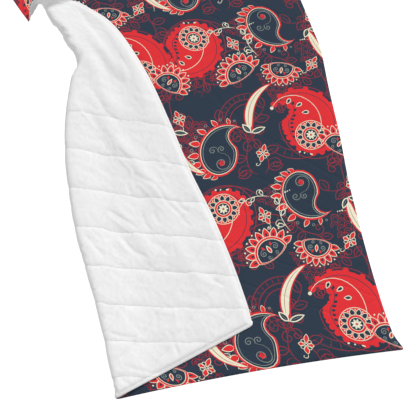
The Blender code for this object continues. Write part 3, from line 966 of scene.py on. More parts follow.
@dataclass
class PrintDesign:
    """A generic repeat of paisleys, rosettes, lotus fans and curls on a dark ground.

    Sizes are in millimetres, hidden_margin and open_from in metres of the cloth. Every
    second column of the repeat is dropped by half.
    """

    repeat_x: float = 600.0
    repeat_y: float = 720.0
    fine: float = 2.3
    crowd: float = 1.35
    round_share: float = 0.32
    slender_share: float = 0.68
    hidden_margin: float = 0.070
    open_from: float = 1.46

    def paisley(self, art: Drawing, spot: Spot) -> None:
        """A large bright paisley with a scalloped edge, a rosette and a curl.

        Args:
            art: the drawing.
            spot: where the motif stands.
        """
        turns = (-14, -6, 14, 52, 105, 165)
        path, halves = self.drop(300, turns, 88, 27)
        body = blade(path, halves)
        art.ring(spot, Ink.LINE, blade(*self.drop(300, turns, 88, 27, -17)), self.fine)
        for k in range(1, len(body) - 1, 2):
            art.fill(spot, Ink.RED, disc(9.5, 9, tuple(body[k])))
        art.fill(spot, Ink.RED, body)
        art.ring(spot, Ink.GROUND, blade(*self.drop(300, turns, 88, 27, 13)), 2.4)
        art.stroke(spot, Ink.CREAM, path[9:] + sideways(path)[9:] * halves[9:, None] * 0.35,
                   self.fine)
        side = sideways(path)
        for k in range(6, 22, 2):
            root = path[k] - side[k] * (halves[k] - 17)
            away = math.degrees(math.atan2(side[k][1], side[k][0])) - 90
            art.fill(spot.within(root[0], root[1], away), Ink.GROUND, petal(13, 4.2, 0.45))
        self.rosette(art, spot.within(path[8][0], path[8][1], 10, 0.98), 12)
        for k, turn in ((15, 40), (18, 70), (21, 100)):
            leaf = spot.within(path[k][0], path[k][1], -turn - 60)
            art.fill(leaf, Ink.CREAM, petal(24, 7))
            art.fill(leaf, Ink.GROUND, petal(18, 4.2, start=3))
        tip = spot.within(path[-1][0], path[-1][1])
        art.fill(tip, Ink.CREAM, disc(6, 8))
        for k in range(1, 6):
            bead = path[1] + (path[0] - path[1]) * 0.3 * k
            art.fill(spot.within(bead[0] + 22 * math.sin(k), bead[1] - 4), Ink.CREAM,
                     disc(2.6, 7))

    def drop(self, length: float, turns: Sequence[float], half: float, count: int,
             inset: float = 0.0) -> tuple[Points, Points]:
        """A bent drop: round at its start and slender to its tip.

        Args:
            length: length of its middle line.
            turns: that line's heading at even steps.
            half: its largest half width.
            count: number of points.
            inset: how far it is drawn in from the whole drop, or out where below nothing.

        Returns:
            Its middle line, and its half widths there.
        """
        fine = winding(length, turns, 90)
        steps = np.linspace(0.0, length, 90)
        share = np.linspace(0.0, 1.0, count) ** self.crowd
        along = inset + (length - (3.2 if inset > 0.0 else 1.6) * inset) * share
        if inset < 0.0:
            before = fine[0] - (fine[1] - fine[0]) * 12
            beyond = fine[-1] + (fine[-1] - fine[-2]) * 11
            fine = np.vstack([before, fine, beyond])
            steps = np.concatenate([[-12 * steps[1]], steps, [length + 11 * steps[1]]])
        path = np.stack([np.interp(along, steps, fine[:, k]) for k in (0, 1)], axis=1)
        past = share - self.round_share
        blunt = np.sqrt(np.clip(1.0 - (past / self.round_share) ** 2, 0.0, 1.0))
        fall = math.pi * np.clip(past / self.slender_share, 0, 1)
        slender = (0.5 + 0.5 * np.cos(fall)) ** 0.9
        return path, (half - inset) * np.where(past < 0.0, blunt, slender)

    def rosette(self, art: Drawing, spot: Spot, petals: int) -> None:
        """A round flower, 52 in radius, with dark petals between pale and bright rings.

        Args:
            art: the drawing.
            spot: where the motif stands.
            petals: number of dark petals.
        """
        art.fill(spot, Ink.CREAM, disc(52, 32))
        art.fill(spot, Ink.RED, disc(50, 32))
        for k in range(petals):
            turned = spot.within(0, 0, 360 / petals * k)
            art.fill(turned, Ink.CREAM, petal(22.6, 9.0, 0.42, 26.4))
            art.fill(turned, Ink.GROUND, petal(19, 7, 0.42, 27.5))
            between = spot.within(0, 0, 360 / petals * (k + 0.5))
            art.fill(between, Ink.CREAM, disc(2.4, 6, (0, 44)))
        art.fill(spot, Ink.CREAM, disc(29.4, 24))
        art.fill(spot, Ink.RED, disc(27.5, 24))
        art.fill(spot, Ink.CREAM, disc(21.2, 22))
        art.fill(spot, Ink.GROUND, disc(19.5, 22))
        for k in range(8):
            art.fill(spot.within(0, 0, 45 * k), Ink.CREAM, petal(14, 3.4, 0.5, 2.5, 6))
        art.fill(spot, Ink.RED, disc(3.4, 8))

    def dark_paisley(self, art: Drawing, spot: Spot) -> None:
        """A dark paisley with a bright outline and a row of petals on its outer side.

        Args:
            art: the drawing.
            spot: where the motif stands.
        """
        turns = (10, 4, -12, -45, -90, -140)
        path, halves = self.drop(210, turns, 58, 22)
        side = sideways(path)
        for k in range(2, 19, 2):
            root = path[k] - side[k] * (halves[k] - 2)
            away = math.degrees(math.atan2(-side[k][1], -side[k][0])) - 90
            size = 0.55 + 0.45 * math.sin(math.pi * (k - 1) / 18)
            leaf = spot.within(root[0], root[1], away, size)
            art.fill(leaf, Ink.CREAM, petal(35, 10.2, 0.38))
            art.fill(leaf, Ink.RED, petal(31, 8.4, 0.38, 1.0))
            gap = path[k + 1] - side[k + 1] * (halves[k + 1] + 20 * size)
            art.ring(spot.within(gap[0], gap[1]), Ink.CURL, disc(4.6 * size, 9), 1.8)
        art.fill(spot, Ink.RED, blade(path, halves))
        art.fill(spot, Ink.CREAM, blade(*self.drop(210, turns, 58, 22, 5.2)))
        art.fill(spot, Ink.GROUND, blade(*self.drop(210, turns, 58, 22, 7.2)))
        art.ring(spot, Ink.CURL, blade(*self.drop(210, turns, 58, 20, 13)), 2.0)
        heart = spot.within(path[6][0], path[6][1])
        art.stroke(heart, Ink.CURL, spiral(33, 3.5, 100, 2.1, 30), self.fine)
        art.stroke(heart.within(12, 46, 20), Ink.CURL, spiral(17, 2.5, 200, -1.6, 18), 2.2)
        art.stroke(heart.within(-14, 42, 0), Ink.CURL, spiral(13, 2.5, 300, 1.5, 16), 2.2)
        for k in range(5):
            art.fill(heart.within(0, 0, 72 * k), Ink.RED, petal(9, 3.2, 0.45, 1.0, 6))

    def fan(self, art: Drawing, spot: Spot) -> None:
        """A lotus: a dark half disc with curls, and bright petals above it.

        Args:
            art: the drawing.
            spot: where the motif stands.
        """
        for k in range(9):
            turn = -84 + 21 * k
            turned = spot.within(0, 0, turn)
            art.fill(turned, Ink.CREAM, petal(38.5, 12.0, 0.40, 48.6))
            art.fill(turned, Ink.RED, petal(34, 10, 0.40, 50))
            art.fill(turned, Ink.GROUND, petal(13, 3.4, 0.45, 57))
        for k in range(8):
            turned = spot.within(0, 0, -73.5 + 21 * k)
            art.fill(turned, Ink.CREAM, disc(3.0, 7, (0, 86)))
        dish = np.concatenate([arc(56, -6, 186, 28), arc(56, 186, 354, 15, squash=0.35)[1:-1]])
        art.fill(spot, Ink.CREAM, dish)
        art.fill(spot, Ink.RED, dish * 0.966)
        art.fill(spot, Ink.CREAM, dish * 0.86)
        art.fill(spot, Ink.GROUND, dish * 0.82)
        for side in (False, True):
            half = spot.within(0, 0, 0, 1, side)
            art.stroke(half, Ink.CURL, spiral(15, 2.5, 160, -1.7, 20) + np.array([22, 14]), 2.3)
            art.stroke(half, Ink.CURL, spiral(8, 2.0, 200, 1.3, 12) + np.array([14, -5]), 2.0)
            art.fill(half.within(12, 24, -24), Ink.RED, petal(13, 3.6))
        art.fill(spot, Ink.CREAM, petal(30, 6.5, 0.4, 2))
        art.fill(spot, Ink.RED, petal(22, 3.8, 0.4, 5))

    def crescent(self, art: Drawing, spot: Spot) -> None:
        """A long curved pale leaf with a bright edge and a vein, and two leaflets.

        Args:
            art: the drawing.
            spot: where the motif stands.
        """
        path = winding(190, (20, 5, -15, -38, -60), 18)
        art.fill(spot, Ink.RED, blade(path, swell(18, 14.5, 0.36, 0.7)))
        art.fill(spot, Ink.CREAM, blade(path[1:-1], swell(16, 11.0, 0.36, 0.7)))
        art.stroke(spot, Ink.LINE, path[2:-3] + np.array([1.5, 0.0]), 1.8)
        for turn, length in ((62, 46), (-48, 38)):
            leaf = spot.within(0, 0, turn)
            art.fill(leaf, Ink.CREAM, petal(length, 9, 0.45))
            art.fill(leaf, Ink.GROUND, petal(length - 9, 5.6, 0.45, 4))
            art.stroke(leaf, Ink.CURL, np.array([[0, 6], [0.6, 18], [0, length - 9]]), 1.6)

    def floret(self, art: Drawing, spot: Spot) -> None:
        """A small flower of four pointed petals with loops between them.

        Args:
            art: the drawing.
            spot: where the motif stands.
        """
        for turn, length in ((0, 38), (90, 25), (180, 34), (270, 25)):
            leaf = spot.within(0, 0, turn)
            art.fill(leaf, Ink.CREAM, petal(length - 2.5, 8.6, 0.5, 4))
            art.fill(leaf, Ink.RED, petal(length - 7, 6.8, 0.5, 6))
        for turn in (45, 135, 225, 315):
            art.ring(spot.within(0, 0, turn), Ink.CREAM, disc(6.5, 10, (0, 15)), 2.0)
        art.fill(spot, Ink.CREAM, disc(5.5, 9))
        art.fill(spot, Ink.GROUND, disc(3.2, 8))
        art.stroke(spot.within(0, -36), Ink.CREAM, winding(34, (180, 150, 60, -90), 10), 2.2)

    def spray(self, art: Drawing, spot: Spot) -> None:
        """A curved pale stem with curls and drops.

        Args:
            art: the drawing.
            spot: where the motif stands.
        """
        stem = winding(130, (0, 18, 44, 80), 18)
        art.stroke(spot, Ink.CREAM, stem, self.fine)
        for k, radius, way in ((5, 16, 1.0), (9, 20, -1.0), (14, 13, 1.0)):
            start = 0.0 if way > 0 else 180.0
            curl = spiral(radius, 2.5, start, way * 1.4, 18)
            base = spot.within(stem[k][0], stem[k][1])
            art.stroke(base, Ink.CREAM, curl - curl[0], self.fine)
        for k, turn in ((3, 50), (7, -70), (12, -15)):
            leaf = spot.within(stem[k][0], stem[k][1], turn)
            art.fill(leaf, Ink.CREAM, petal(26, 7, 0.6))
            art.fill(leaf, Ink.GROUND, petal(18, 4.2, 0.6, 4))
        tip = stem[-1]
        for k in range(3):
            bead = spot.within(tip[0] + 6 + 7 * k, tip[1] - 2 * k)
            art.fill(bead, Ink.CREAM, disc(2.8 - 0.5 * k, 7))

    def vine(self, art: Drawing, spot: Spot) -> None:
        """Fine dull lines: a wavy stem with curls and open leaves.

        Args:
            art: the drawing.
            spot: where the motif stands.
        """
        stem = winding(250, (-30, 25, 50, 5, -40, -10), 26)
        art.stroke(spot, Ink.LINE, stem, self.fine)
        for k, radius, way in ((4, 24, 1.0), (10, 30, -1.0), (16, 24, 1.0), (21, 17, -1.0)):
            curl = spiral(radius, 4, 0.0 if way > 0 else 180.0, way * 1.5, 20)
            base = spot.within(stem[k][0], stem[k][1], way * 14)
            art.stroke(base, Ink.LINE, curl - curl[0], self.fine)
        for k, turn in ((2, 75), (7, 60), (13, -65), (19, 70), (24, -30)):
            leaf = spot.within(stem[k][0], stem[k][1], turn)
            art.ring(leaf, Ink.LINE, petal(44, 13, 0.5, 1, 8), 2.3)
            art.stroke(leaf, Ink.LINE, np.array([[0.0, 5.0], [0.8, 20.0], [0.0, 34.0]]), 1.8)

    def scales(self, art: Drawing, spot: Spot) -> None:
        """Rows of overlapping dull arcs.

        Args:
            art: the drawing.
            spot: where the motif stands.
        """
        for row in range(4):
            for k in range(5 - row % 2):
                centre = (26 * k + 13 * (row % 2) - 52, 20 * row)
                art.stroke(spot, Ink.LINE, arc(13, 0, 180, 8, centre, 1.25), 2.2, False)
                art.stroke(spot, Ink.LINE, arc(6.5, 0, 180, 6, centre, 1.25), 1.8, False)

    def halo(self, art: Drawing, spot: Spot) -> None:
        """Dull arcs round a point, with short rays between them.

        Args:
            art: the drawing.
            spot: where the motif stands.
        """
        for radius in (60, 76, 96):
            art.stroke(spot, Ink.LINE, arc(radius, 10, 170, 18), 2.4)
        for k in range(13):
            turned = spot.within(0, 0, -72 + 12 * k)
            art.stroke(turned, Ink.LINE, np.array([[0.0, 79.0], [0.5, 86.0], [0.0, 93.0]]), 2.0)

    def repeat(self, behind: bool) -> Drawing:
        """Draws one repeat's dull lines behind the motifs, or the motifs themselves.

        Args:
            behind: True for the dull lines.

        Returns:
            The drawing.
        """
        art = Drawing()
        for motif, places in LAYOUT.items():
            if behind == (motif in (Motif.VINE, Motif.SCALES, Motif.HALO)):
                for place in places:
                    getattr(self, motif.value)(art, Spot(*place))
        return art

    def shapes_over(self, form: FoldedForm) -> list[tuple[Ink, Points]]:
        """The repeat's shapes wherever the printed face can be seen.

        Args:
            form: the folded form, which hides the print inside the fold.

        Returns:
            Each shape's ink and its corners in (u, v).
        """
        edges = self.flap_edges(form)
        placed = []
        for behind in (True, False):
            tile = self.repeat(behind).shapes
            for offset in self.offsets(form):
                for ink, points in tile:
                    place = (points + offset) * MM
                    if self.shows(place, form, edges):
                        placed.append((ink, place))
        return placed

    def offsets(self, form: FoldedForm) -> list[Points]:
        """Where the repeat stands over the cloth, in millimetres.

        Args:
            form: the folded form.

        Returns:
            Each repeat's place.
        """
        width = float(form.width(form.table["along"]).max())
        columns = range(-1, int(width / MM / self.repeat_x) + 2)
        rows = range(-2, int(form.length / MM / self.repeat_y) + 2)
        return [np.array([self.repeat_x * column,
                          self.repeat_y * (row + 0.5 * (column % 2))])
                for column in columns for row in rows]

    @staticmethod
    def flap_edges(form: FoldedForm) -> tuple[Points, Points]:
        """Places of the flap's free edge, and of its near hem, in order.

        Args:
            form: the folded form.

        Returns:
            The two rows of places.
        """
        along = form.table["along"]
        free = form.place(form.width(along), along)
        zero = np.zeros(1)
        flat, roll, reach = (float(part[0]) for part in form.parts(zero))
        across = flat + roll + reach * np.linspace(0.0, 1.0, 12)
        return free[np.argsort(free[:, 1])], form.place(across, np.zeros(12))

    def shows(self, shape: Points, form: FoldedForm, edges: tuple[Points, Points]) -> bool:
        """Whether any corner of a shape lies on the cloth and outside the closed fold.

        Args:
            shape: corners in (u, v).
            form: the folded form.
            edges: places of the flap's free edge and of its near hem.

        Returns:
            True where the shape can be seen.
        """
        u, v = shape.T
        if u.max() < 0.0 or v.max() < 0.0 or v.min() > form.length:
            return False
        free, hem = edges
        held = np.clip(v, 0.0, form.length)
        x = form.at("right_x", held) - u
        beside = x > np.interp(held, free[:, 1], free[:, 0]) - self.hidden_margin
        before = held < np.interp(x, hem[:, 0], hem[:, 1]) + self.hidden_margin
        seen = beside | before | (v > self.open_from)
        return bool(np.any(seen & (u < form.width(held))))


# The two panels

def cloth_noise(places: Points, scale: tuple[float, float], seed: float) -> Points:
    """Smooth noise from about -1 to 1 over places, with its own scale each way in metres.

    Args:
        places: places in metres.
        scale: size of its hills each way.
        seed: number of the pattern.

    Returns:
        One value for each place.
    """
    spots = np.stack([places[:, 0] / scale[0], places[:, 1] / scale[1],
                      np.full(len(places), seed)], axis=1)
    return np.array([noise.noise(spot) for spot in spots.tolist()])


@dataclass
class Quilting:
    """The stitch lines of the back: two families that cross in diamonds.

    Each family is a phase over the cloth, and its lines lie where the phase is whole.
    from_edge is the distance from the flap's free edge. The diamonds are a little taller
    towards the far end, where the cloth is drawn less tight.
    """

    near_rate: float = 12.27
    stretch: float = 0.714
    rising_rate: float = -4.14
    rising_at: float = -0.50
    falling_rate: float = 4.40
    falling_at: float = -0.93
    stray: float = 0.055
    numbers: tuple[int, int] = (-4, 16)
    beyond_flap: float = 0.060

    def phase(self, v: Points) -> Points:
        """Phase along the cloth."""
        return self.near_rate * np.log(1.0 + self.stretch * v)

    def slope(self, v: Points) -> Points:
        """The phase's rate along the cloth."""
        return self.near_rate * self.stretch / (1.0 + self.stretch * v)

    def families(self) -> tuple[tuple[float, float], tuple[float, float]]:
        """Rate across the cloth and starting phase of each family.

        Returns:
            The rising family's pair, and the falling one's.
        """
        return (self.rising_rate, self.rising_at), (self.falling_rate, self.falling_at)

    def density(self, rate: float, v: Points, lean: Points) -> Points:
        """Lines for each metre square to them, where the rows lean by an angle.

        Args:
            rate: the family's rate across the cloth.
            v: distances from the near hem.
            lean: angles at which the rows lean.

        Returns:
            Lines for each metre.
        """
        tilt = np.sin(lean)
        slope = self.slope(v)
        return np.sqrt((rate ** 2 + slope ** 2 + 2 * tilt * rate * slope) / (1.0 - tilt ** 2))

    def waver(self, from_edge: Points, v: Points) -> Points:
        """How far the seams stray from their even lines, as a phase.

        Args:
            from_edge: distances from the free edge.
            v: distances from the near hem.

        Returns:
            Shares of the distance between two lines.
        """
        cloth = np.stack([from_edge, v], axis=1)
        return (self.stray * cloth_noise(cloth, (0.060, 0.090), 53.0)
                + 0.4 * self.stray * cloth_noise(cloth, (0.022, 0.030), 59.0))

    def phases(self, from_edge: Points, v: Points) -> tuple[Points, Points]:
        """Phase of each family at places on the cloth.

        Args:
            from_edge: distances from the free edge.
            v: distances from the near hem.

        Returns:
            The rising family's phases, and the falling one's.
        """
        even = self.phase(v) + self.waver(from_edge, v)
        rising, falling = (even + rate * from_edge + start for rate, start in self.families())
        return rising, falling

    def distances(self, phases: tuple[Points, Points], v: Points,
                  lean: Points) -> tuple[Points, Points]:
        """Distance of places from the nearest line of each family.

        Args:
            phases: both families' phases at the places.
            v: distances from the near hem.
            lean: angles at which the rows lean.

        Returns:
            One row of distances for each family.
        """
        first, second = (np.abs(phase - np.round(phase)) / self.density(rate, v, lean)
                         for phase, (rate, _) in zip(phases, self.families()))
        return first, second

    def line_spots(self, form: FoldedForm, step: float, offsets: Sequence[float],
                   far: float) -> Points:
        """Rows of spots along the lines and beside them, over the flap and the roll.

        Args:
            form: the folded form.
            step: distance between a row's spots.
            offsets: distances of the rows from their line.
            far: the last distance from the near hem.

        Returns:
            The spots in (u, v).
        """
        rows = []
        reach = float(form.table["reach"].max()) + self.beyond_flap
        from_edge = np.arange(0.0, reach, step)
        for rate, start in self.families():
            for number in range(*self.numbers):
                even = number - start - rate * from_edge
                v = (np.exp(even / self.near_rate) - 1.0) / self.stretch
                even -= self.waver(from_edge, v)
                v = (np.exp(even / self.near_rate) - 1.0) / self.stretch
                held = np.clip(v, 0.0, form.length)
                lean = np.radians(form.at("lean", held))
                per_metre = self.density(rate, held, lean) / self.slope(held)
                for offset in offsets:
                    moved = v + offset * per_metre
                    fits = (moved > 0.0) & (moved < far)
                    u = form.width(np.clip(moved, 0.0, form.length)) - from_edge
                    rows.append(np.stack([u[fits], moved[fits]], axis=1))
        spots = np.concatenate(rows)
        flat, _, _ = form.parts(spots[:, 1])
        return spots[spots[:, 0] > flat]

    def mark(self, item: bpy.types.Object, form: FoldedForm) -> None:
        """Stores both phases on a sheet's corners, in a UV map for its finish.

        Args:
            item: the sheet, with its (u, v) in the UV map cloth.
            form: the folded form.
        """
        cloth = item.data.uv_layers["cloth"].data
        places = np.zeros(2 * len(cloth), dtype=np.float32)
        cloth.foreach_get("uv", places)
        u, v = places.reshape(-1, 2).astype(float).T
        phases = np.stack(self.phases(form.width(v) - u, v), axis=1)
        layer = item.data.uv_layers.new(name="seams")
        layer.data.foreach_set("uv", phases.astype(np.float32).ravel())


@dataclass
class PrintedTop:
    """The printed panel: smooth woven cloth with the design cut into its mesh."""

    form: FoldedForm
    cutting: Cutting
    design: PrintDesign
    quilting: Quilting
    round_rim: float = 0.004
    flat_step: float = 0.022
    clear_of_rows: float = 0.033

    def build(self) -> bpy.types.Object:
        """Makes the panel and gives each face its ink.

        Returns:
            The panel.
        """
        form = self.form
        shapes = self.design.shapes_over(form)
        spots = np.concatenate([self.cutting.seam_spots(),
                                self.cutting.grid_spots(self.flat_step, Zone.FLAT,
                                                        self.clear_of_rows)])
        front, inks = self.printed_mesh(shapes, spots)
        rear = flat_mesh(front.places[front.border()], self.cutting.seam_spots())
        u, v = front.places.T
        edge = form.edge_distance(u, v)
        thick = form.print_thick * form.rim(edge) * rounded_rim(edge, self.round_rim)
        outer = form.place(u, v) + form.normals(u, v) * (form.panel_gap / 2 + thick)[:, None]
        u, v = rear.places.T
        inner = form.place(u, v) + form.normals(u, v) * (form.panel_gap / 2)
        item = ClosedSheet("printed_top_cloth", front, form.shifted(outer), rear,
                           form.shifted(inner)).build()
        self.give_inks(item, inks)
        self.quilting.mark(item, form)
        return item

    def printed_mesh(self, shapes: Sequence[tuple[Ink, Points]],
                     spots: Points) -> tuple[FlatMesh, Points]:
        """Triangulates the printed face along the borders between its inks.

        A first mesh follows every drawn side. The second one follows only those that
        show, so what lies under another motif takes up no faces.

        Args:
            shapes: each shape's ink and corners, in order.
            spots: single points that the mesh has to have.

        Returns:
            The mesh, and each face's ink.
        """
        polygons = [points for _, points in shapes]
        inks = np.array([Ink.GROUND] + [ink for ink, _ in shapes], dtype=int)
        drawn = flat_mesh(self.cutting.outline(), np.zeros((0, 2)), *shape_lines(polygons))
        edges = drawn.edges_between(inks[painted(drawn, polygons)])
        used, edges = np.unique(edges, return_inverse=True)
        mesh = flat_mesh(drawn.places[drawn.border()], spots, drawn.places[used],
                         edges.reshape(-1, 2))
        return mesh, inks[painted(mesh, polygons)]

    @staticmethod
    def give_inks(item: bpy.types.Object, inks: Points) -> None:
        """Stores each face's colour on its corners.

        Args:
            item: the panel.
            inks: the ink of each of its first faces. The others show bare ground.
        """
        table = np.array([linear(INK_COLOURS[ink]) for ink in Ink])
        faces = item.data.polygons
        face_inks = np.zeros(len(faces), dtype=int)
        face_inks[:len(inks)] = inks
        sizes = np.zeros(len(faces), dtype=np.int32)
        faces.foreach_get("loop_total", sizes)
        layer = item.data.color_attributes.new("ink", "FLOAT_COLOR", "CORNER")
        layer.data.foreach_set("color", np.repeat(table[face_inks], sizes, axis=0)
                               .astype(np.float32).ravel())


def rounded_rim(edge: Points, radius: float) -> Points:
    """Share of the thickness over a rounded edge."""
    inward = 1.0 - np.clip(edge / radius, 0.0, 1.0)
    return 0.25 + 0.75 * np.sqrt(1.0 - inward ** 2)


def bent_fold(x: Points, y: Points, fold: Crease) -> Points:
    """Height of a soft trough or ridge along a bent line, fading at its ends.

    Args:
        x: places in plan.
        y: places in plan.
        fold: the fold.

    Returns:
        Heights at the places.
    """
    line = np.array(fold.line)
    lengths = np.hypot(*np.diff(line, axis=0).T)
    total, done = lengths.sum(), 0.0
    nearest = np.full_like(x, 1e9)
    share = np.zeros_like(x)
    for start, end, length in zip(line, line[1:], lengths):
        run = (end - start) / length
        part = np.clip((x - start[0]) * run[0] + (y - start[1]) * run[1], 0.0, length)
        away = np.hypot(x - start[0] - run[0] * part, y - start[1] - run[1] * part)
        closer = away < nearest
        nearest = np.where(closer, away, nearest)
        share = np.where(closer, (done + part) / total, share)
        done += length
    fade = ease(np.sin(math.pi * share) * 1.25)
    trough = 1.0 / (1.0 + (nearest / fold.half) ** 2) ** 1.5
    return fold.height * fade * trough


@dataclass
class QuiltedBack:
    """The white panel: brushed cloth over the filling, stitched in diamonds.

    crown and pinch are heights of the pads. coarse, fine, swell and grain are heights of
    the crumples, and pucker that of the gathers at the seams. pucker_lengths gives each
    size of gather with its seed, pucker_slants how far each family's gathers slant.
    """

    form: FoldedForm
    cutting: Cutting
    quilting: Quilting
    fine_step: float = 0.0055
    fine_far: float = 1.72
    line_step: float = 0.0045
    line_rows: tuple[float, ...] = (-0.006, -0.0025, 0.0, 0.0025, 0.006)
    clear_of_rim: float = 0.011
    clear_of_line: float = 0.009
    rim_rows: tuple[float, ...] = (0.0015, 0.0035, 0.006, 0.0085, 0.0115, 0.0145, 0.018, 0.022)
    rim_step: float = 0.008
    rim_flat: float = 0.022
    round_rim: float = 0.008
    pad_half: float = 0.055
    crown: float = 0.0022
    pinch: float = 0.0021
    sink: float = 0.0012
    pinch_reach: float = 0.009
    falling_share: float = 0.46
    falling_near: float = 0.60
    slack_from: float = 4.72
    slack_over: float = 0.60
    slack_share: float = 0.93
    deepest: float = 0.0040
    coarse: float = 0.0036
    fine: float = 0.0018
    swell: float = 0.0017
    grain: float = 0.0006
    pucker: float = 0.0010
    pucker_lengths: tuple[tuple[float, float], ...] = ((0.017, 3.0), (0.0391, 23.0))
    pucker_slants: tuple[float, float] = (0.61, -0.65)
    pucker_reach: float = 0.022
    topstitch_at: float = 0.0115
    topstitch_half: float = 0.0032
    topstitch_sink: float = 0.0017
    sewn_edge: float = 0.004
    turned_from: float = 20.0
    turned_over: float = 70.0
    rim_held: float = 0.010
    relax_steps: int = 14
    pinched_below: float = 0.80

    def build(self) -> bpy.types.Object:
        """Makes the panel with its relief.

        Returns:
            The panel.
        """
        form = self.form
        lines = self.quilting.line_spots(form, self.line_step, self.line_rows, self.fine_far)
        lines = self.cutting.inside(lines, self.clear_of_rim)
        rims = self.cutting.rim_spots(self.rim_rows, self.rim_step)
        spots = np.concatenate([self.cutting.seam_spots(), lines, rims, self.fine_spots()])
        rear = flat_mesh(self.cutting.outline(), spots)
        front = flat_mesh(rear.places[rear.border()], self.cutting.seam_spots())
        u, v = front.places.T
        inner = form.place(u, v) - form.normals(u, v) * (form.panel_gap / 2)
        outer = self.outer_places(*rear.places.T)
        item = ClosedSheet("quilted_back_cloth", front, form.shifted(inner), rear,
                           form.shifted(outer)).build()
        self.quilting.mark(item, form)
        held = form.edge_distance(*rear.places.T) < self.rim_held
        self.relax(item, np.concatenate([np.ones(len(front.places), dtype=bool), held]))
        return item

    def relax(self, item: bpy.types.Object, held: Points) -> None:
        """Smooths the few spots where a tight fold bends the outer face over itself.

        Args:
            item: the panel.
            held: True for each vertex that stays where it is.
        """
        mesh = bmesh.new()
        mesh.from_mesh(item.data)
        for _ in range(self.relax_steps):
            pinched = {corner for face in mesh.faces for corner in face.verts
                       if not held[corner.index]
                       and face.normal.dot(corner.normal) < self.pinched_below}
            around = {edge.other_vert(corner) for corner in pinched
                      for edge in corner.link_edges}
            moved = [corner for corner in pinched | around if not held[corner.index]]
            bmesh.ops.smooth_vert(mesh, verts=moved, factor=0.5, use_axis_x=True,
                                  use_axis_y=True, use_axis_z=True)
            mesh.normal_update()
        mesh.to_mesh(item.data)
        mesh.free()

    def fine_spots(self) -> Points:
        """A fine grid over the flap, clear of the stitch lines.

        Returns:
            The spots.
        """
        form = self.form
        spots = self.cutting.grid_spots(self.fine_step, Zone.FLAP, self.rim_held)
        spots = spots[spots[:, 1] < self.fine_far]
        from_edge = form.width(spots[:, 1]) - spots[:, 0]
        lean = np.radians(form.at("lean", spots[:, 1]))
        phases = self.quilting.phases(from_edge, spots[:, 1])
        near = np.minimum(*self.quilting.distances(phases, spots[:, 1], lean))
        return spots[near > self.clear_of_line]

    def outer_places(self, u: Points, v: Points) -> Points:
        """Places of the outer face: flat where the quilt lies, in relief elsewhere.

        Args:
            u: distances from the right edge.
            v: distances from the near hem.

        Returns:
            One place for each.
        """
        form = self.form
        edge = form.edge_distance(u, v)
        seam, normals = form.place(u, v), form.normals(u, v)
        flat, roll, _ = form.parts(v)
        turned = ease((form.at("turn", v) - self.turned_from) / self.turned_over)
        shown = ease((u - flat) / roll) * turned
        thick = form.back_thick * form.rim(edge) * rounded_rim(edge, self.round_rim)
        relief = self.relief(u, v, seam) * shown * ease(edge / self.sewn_edge)
        outer = seam - normals * (form.panel_gap / 2 + thick + relief)[:, None]
        lying = u <= flat
        outer[lying, 2] = 0.0
        outer[:, 2] = np.maximum(outer[:, 2], 0.0)
        return outer

    def relief(self, u: Points, v: Points, seam: Points) -> Points:
        """Height of the relief: pads, puckers, crumples, folds and the rim's topstitching.

        Args:
            u: distances from the right edge.
            v: distances from the near hem.
            seam: places of the seam face there.

        Returns:
            Heights over the plain thickness.
        """
        form = self.form
        from_edge = form.width(v) - u
        cloth = np.stack([from_edge, v], axis=1)
        phases = self.quilting.phases(from_edge, v)
        lines = self.quilting.distances(phases, v, np.radians(form.at("lean", v)))
        taut = self.tautness(cloth, phases[0])
        height = self.padding(lines, taut) + self.puckers(cloth, lines, taut)
        height += self.crumples(cloth)
        for fold in FOLDS:
            height += bent_fold(seam[:, 0], seam[:, 1], fold)
        edge = form.edge_distance(u, v)
        ditch = (edge - self.topstitch_at) / self.topstitch_half
        height = np.maximum(height, -self.deepest) * ease(edge / self.rim_flat)
        return height - self.topstitch_sink * np.exp(-ditch ** 2)

    def tautness(self, cloth: Points, rising: Points) -> tuple[Points, Points]:
        """How tightly each family's seams are drawn in: unevenly, and slack at the far end.

        Args:
            cloth: places on the cloth, from the free edge and the near hem.
            rising: phase of the rising family.

        Returns:
            Shares for the rising and the falling family.
        """
        slack = 1.0 - self.slack_share * ease((rising - self.slack_from) / self.slack_over)
        patches = cloth_noise(cloth, (0.090, 0.110), 5.0), cloth_noise(cloth, (0.080, 0.070), 7.0)
        falling = self.falling_share * (1.5 - ease(cloth[:, 1] / self.falling_near))
        return (slack * np.clip(0.90 + 0.45 * patches[0], 0.3, 1.2),
                slack * np.clip(falling + 0.5 * patches[1], 0.06, 0.95))

    def padding(self, lines: tuple[Points, Points], taut: tuple[Points, Points]) -> Points:
        """Height of the crowns between the seams and of the cloth pinched in beside them.

        Args:
            lines: distances from each family's seams.
            taut: how tightly each family is drawn in.

        Returns:
            Heights.
        """
        pads = np.ones_like(lines[0])
        crowns = np.ones_like(lines[0])
        for near, tight in zip(lines, taut):
            pads *= 1.0 - tight * np.exp(-near / self.pinch_reach)
            crowns *= np.clip(near / self.pad_half, 0.0, 1.0) ** (0.5 * tight)
        return self.crown * np.sin(crowns * math.pi / 2) + self.pinch * pads - self.sink

    def puckers(self, cloth: Points, lines: tuple[Points, Points],
                taut: tuple[Points, Points]) -> Points:
        """Height of the small gathers that run out from the seams.

        Args:
            cloth: places on the cloth, from the free edge and the near hem.
            lines: distances from each family's seams.
            taut: how tightly each family is drawn in.

        Returns:
            Heights.
        """
        from_edge, v = cloth.T
        height = np.zeros_like(v)
        for number, (near, tight, slant) in enumerate(zip(lines, taut, self.pucker_slants)):
            across = np.stack([from_edge + slant * v, v * 0.35 + near * 0.5], axis=1)
            for length, seed in self.pucker_lengths:
                waves = cloth_noise(across, (length, 0.070), seed + number)
                height += self.pucker * waves * tight * np.exp(-near / self.pucker_reach)
        return height

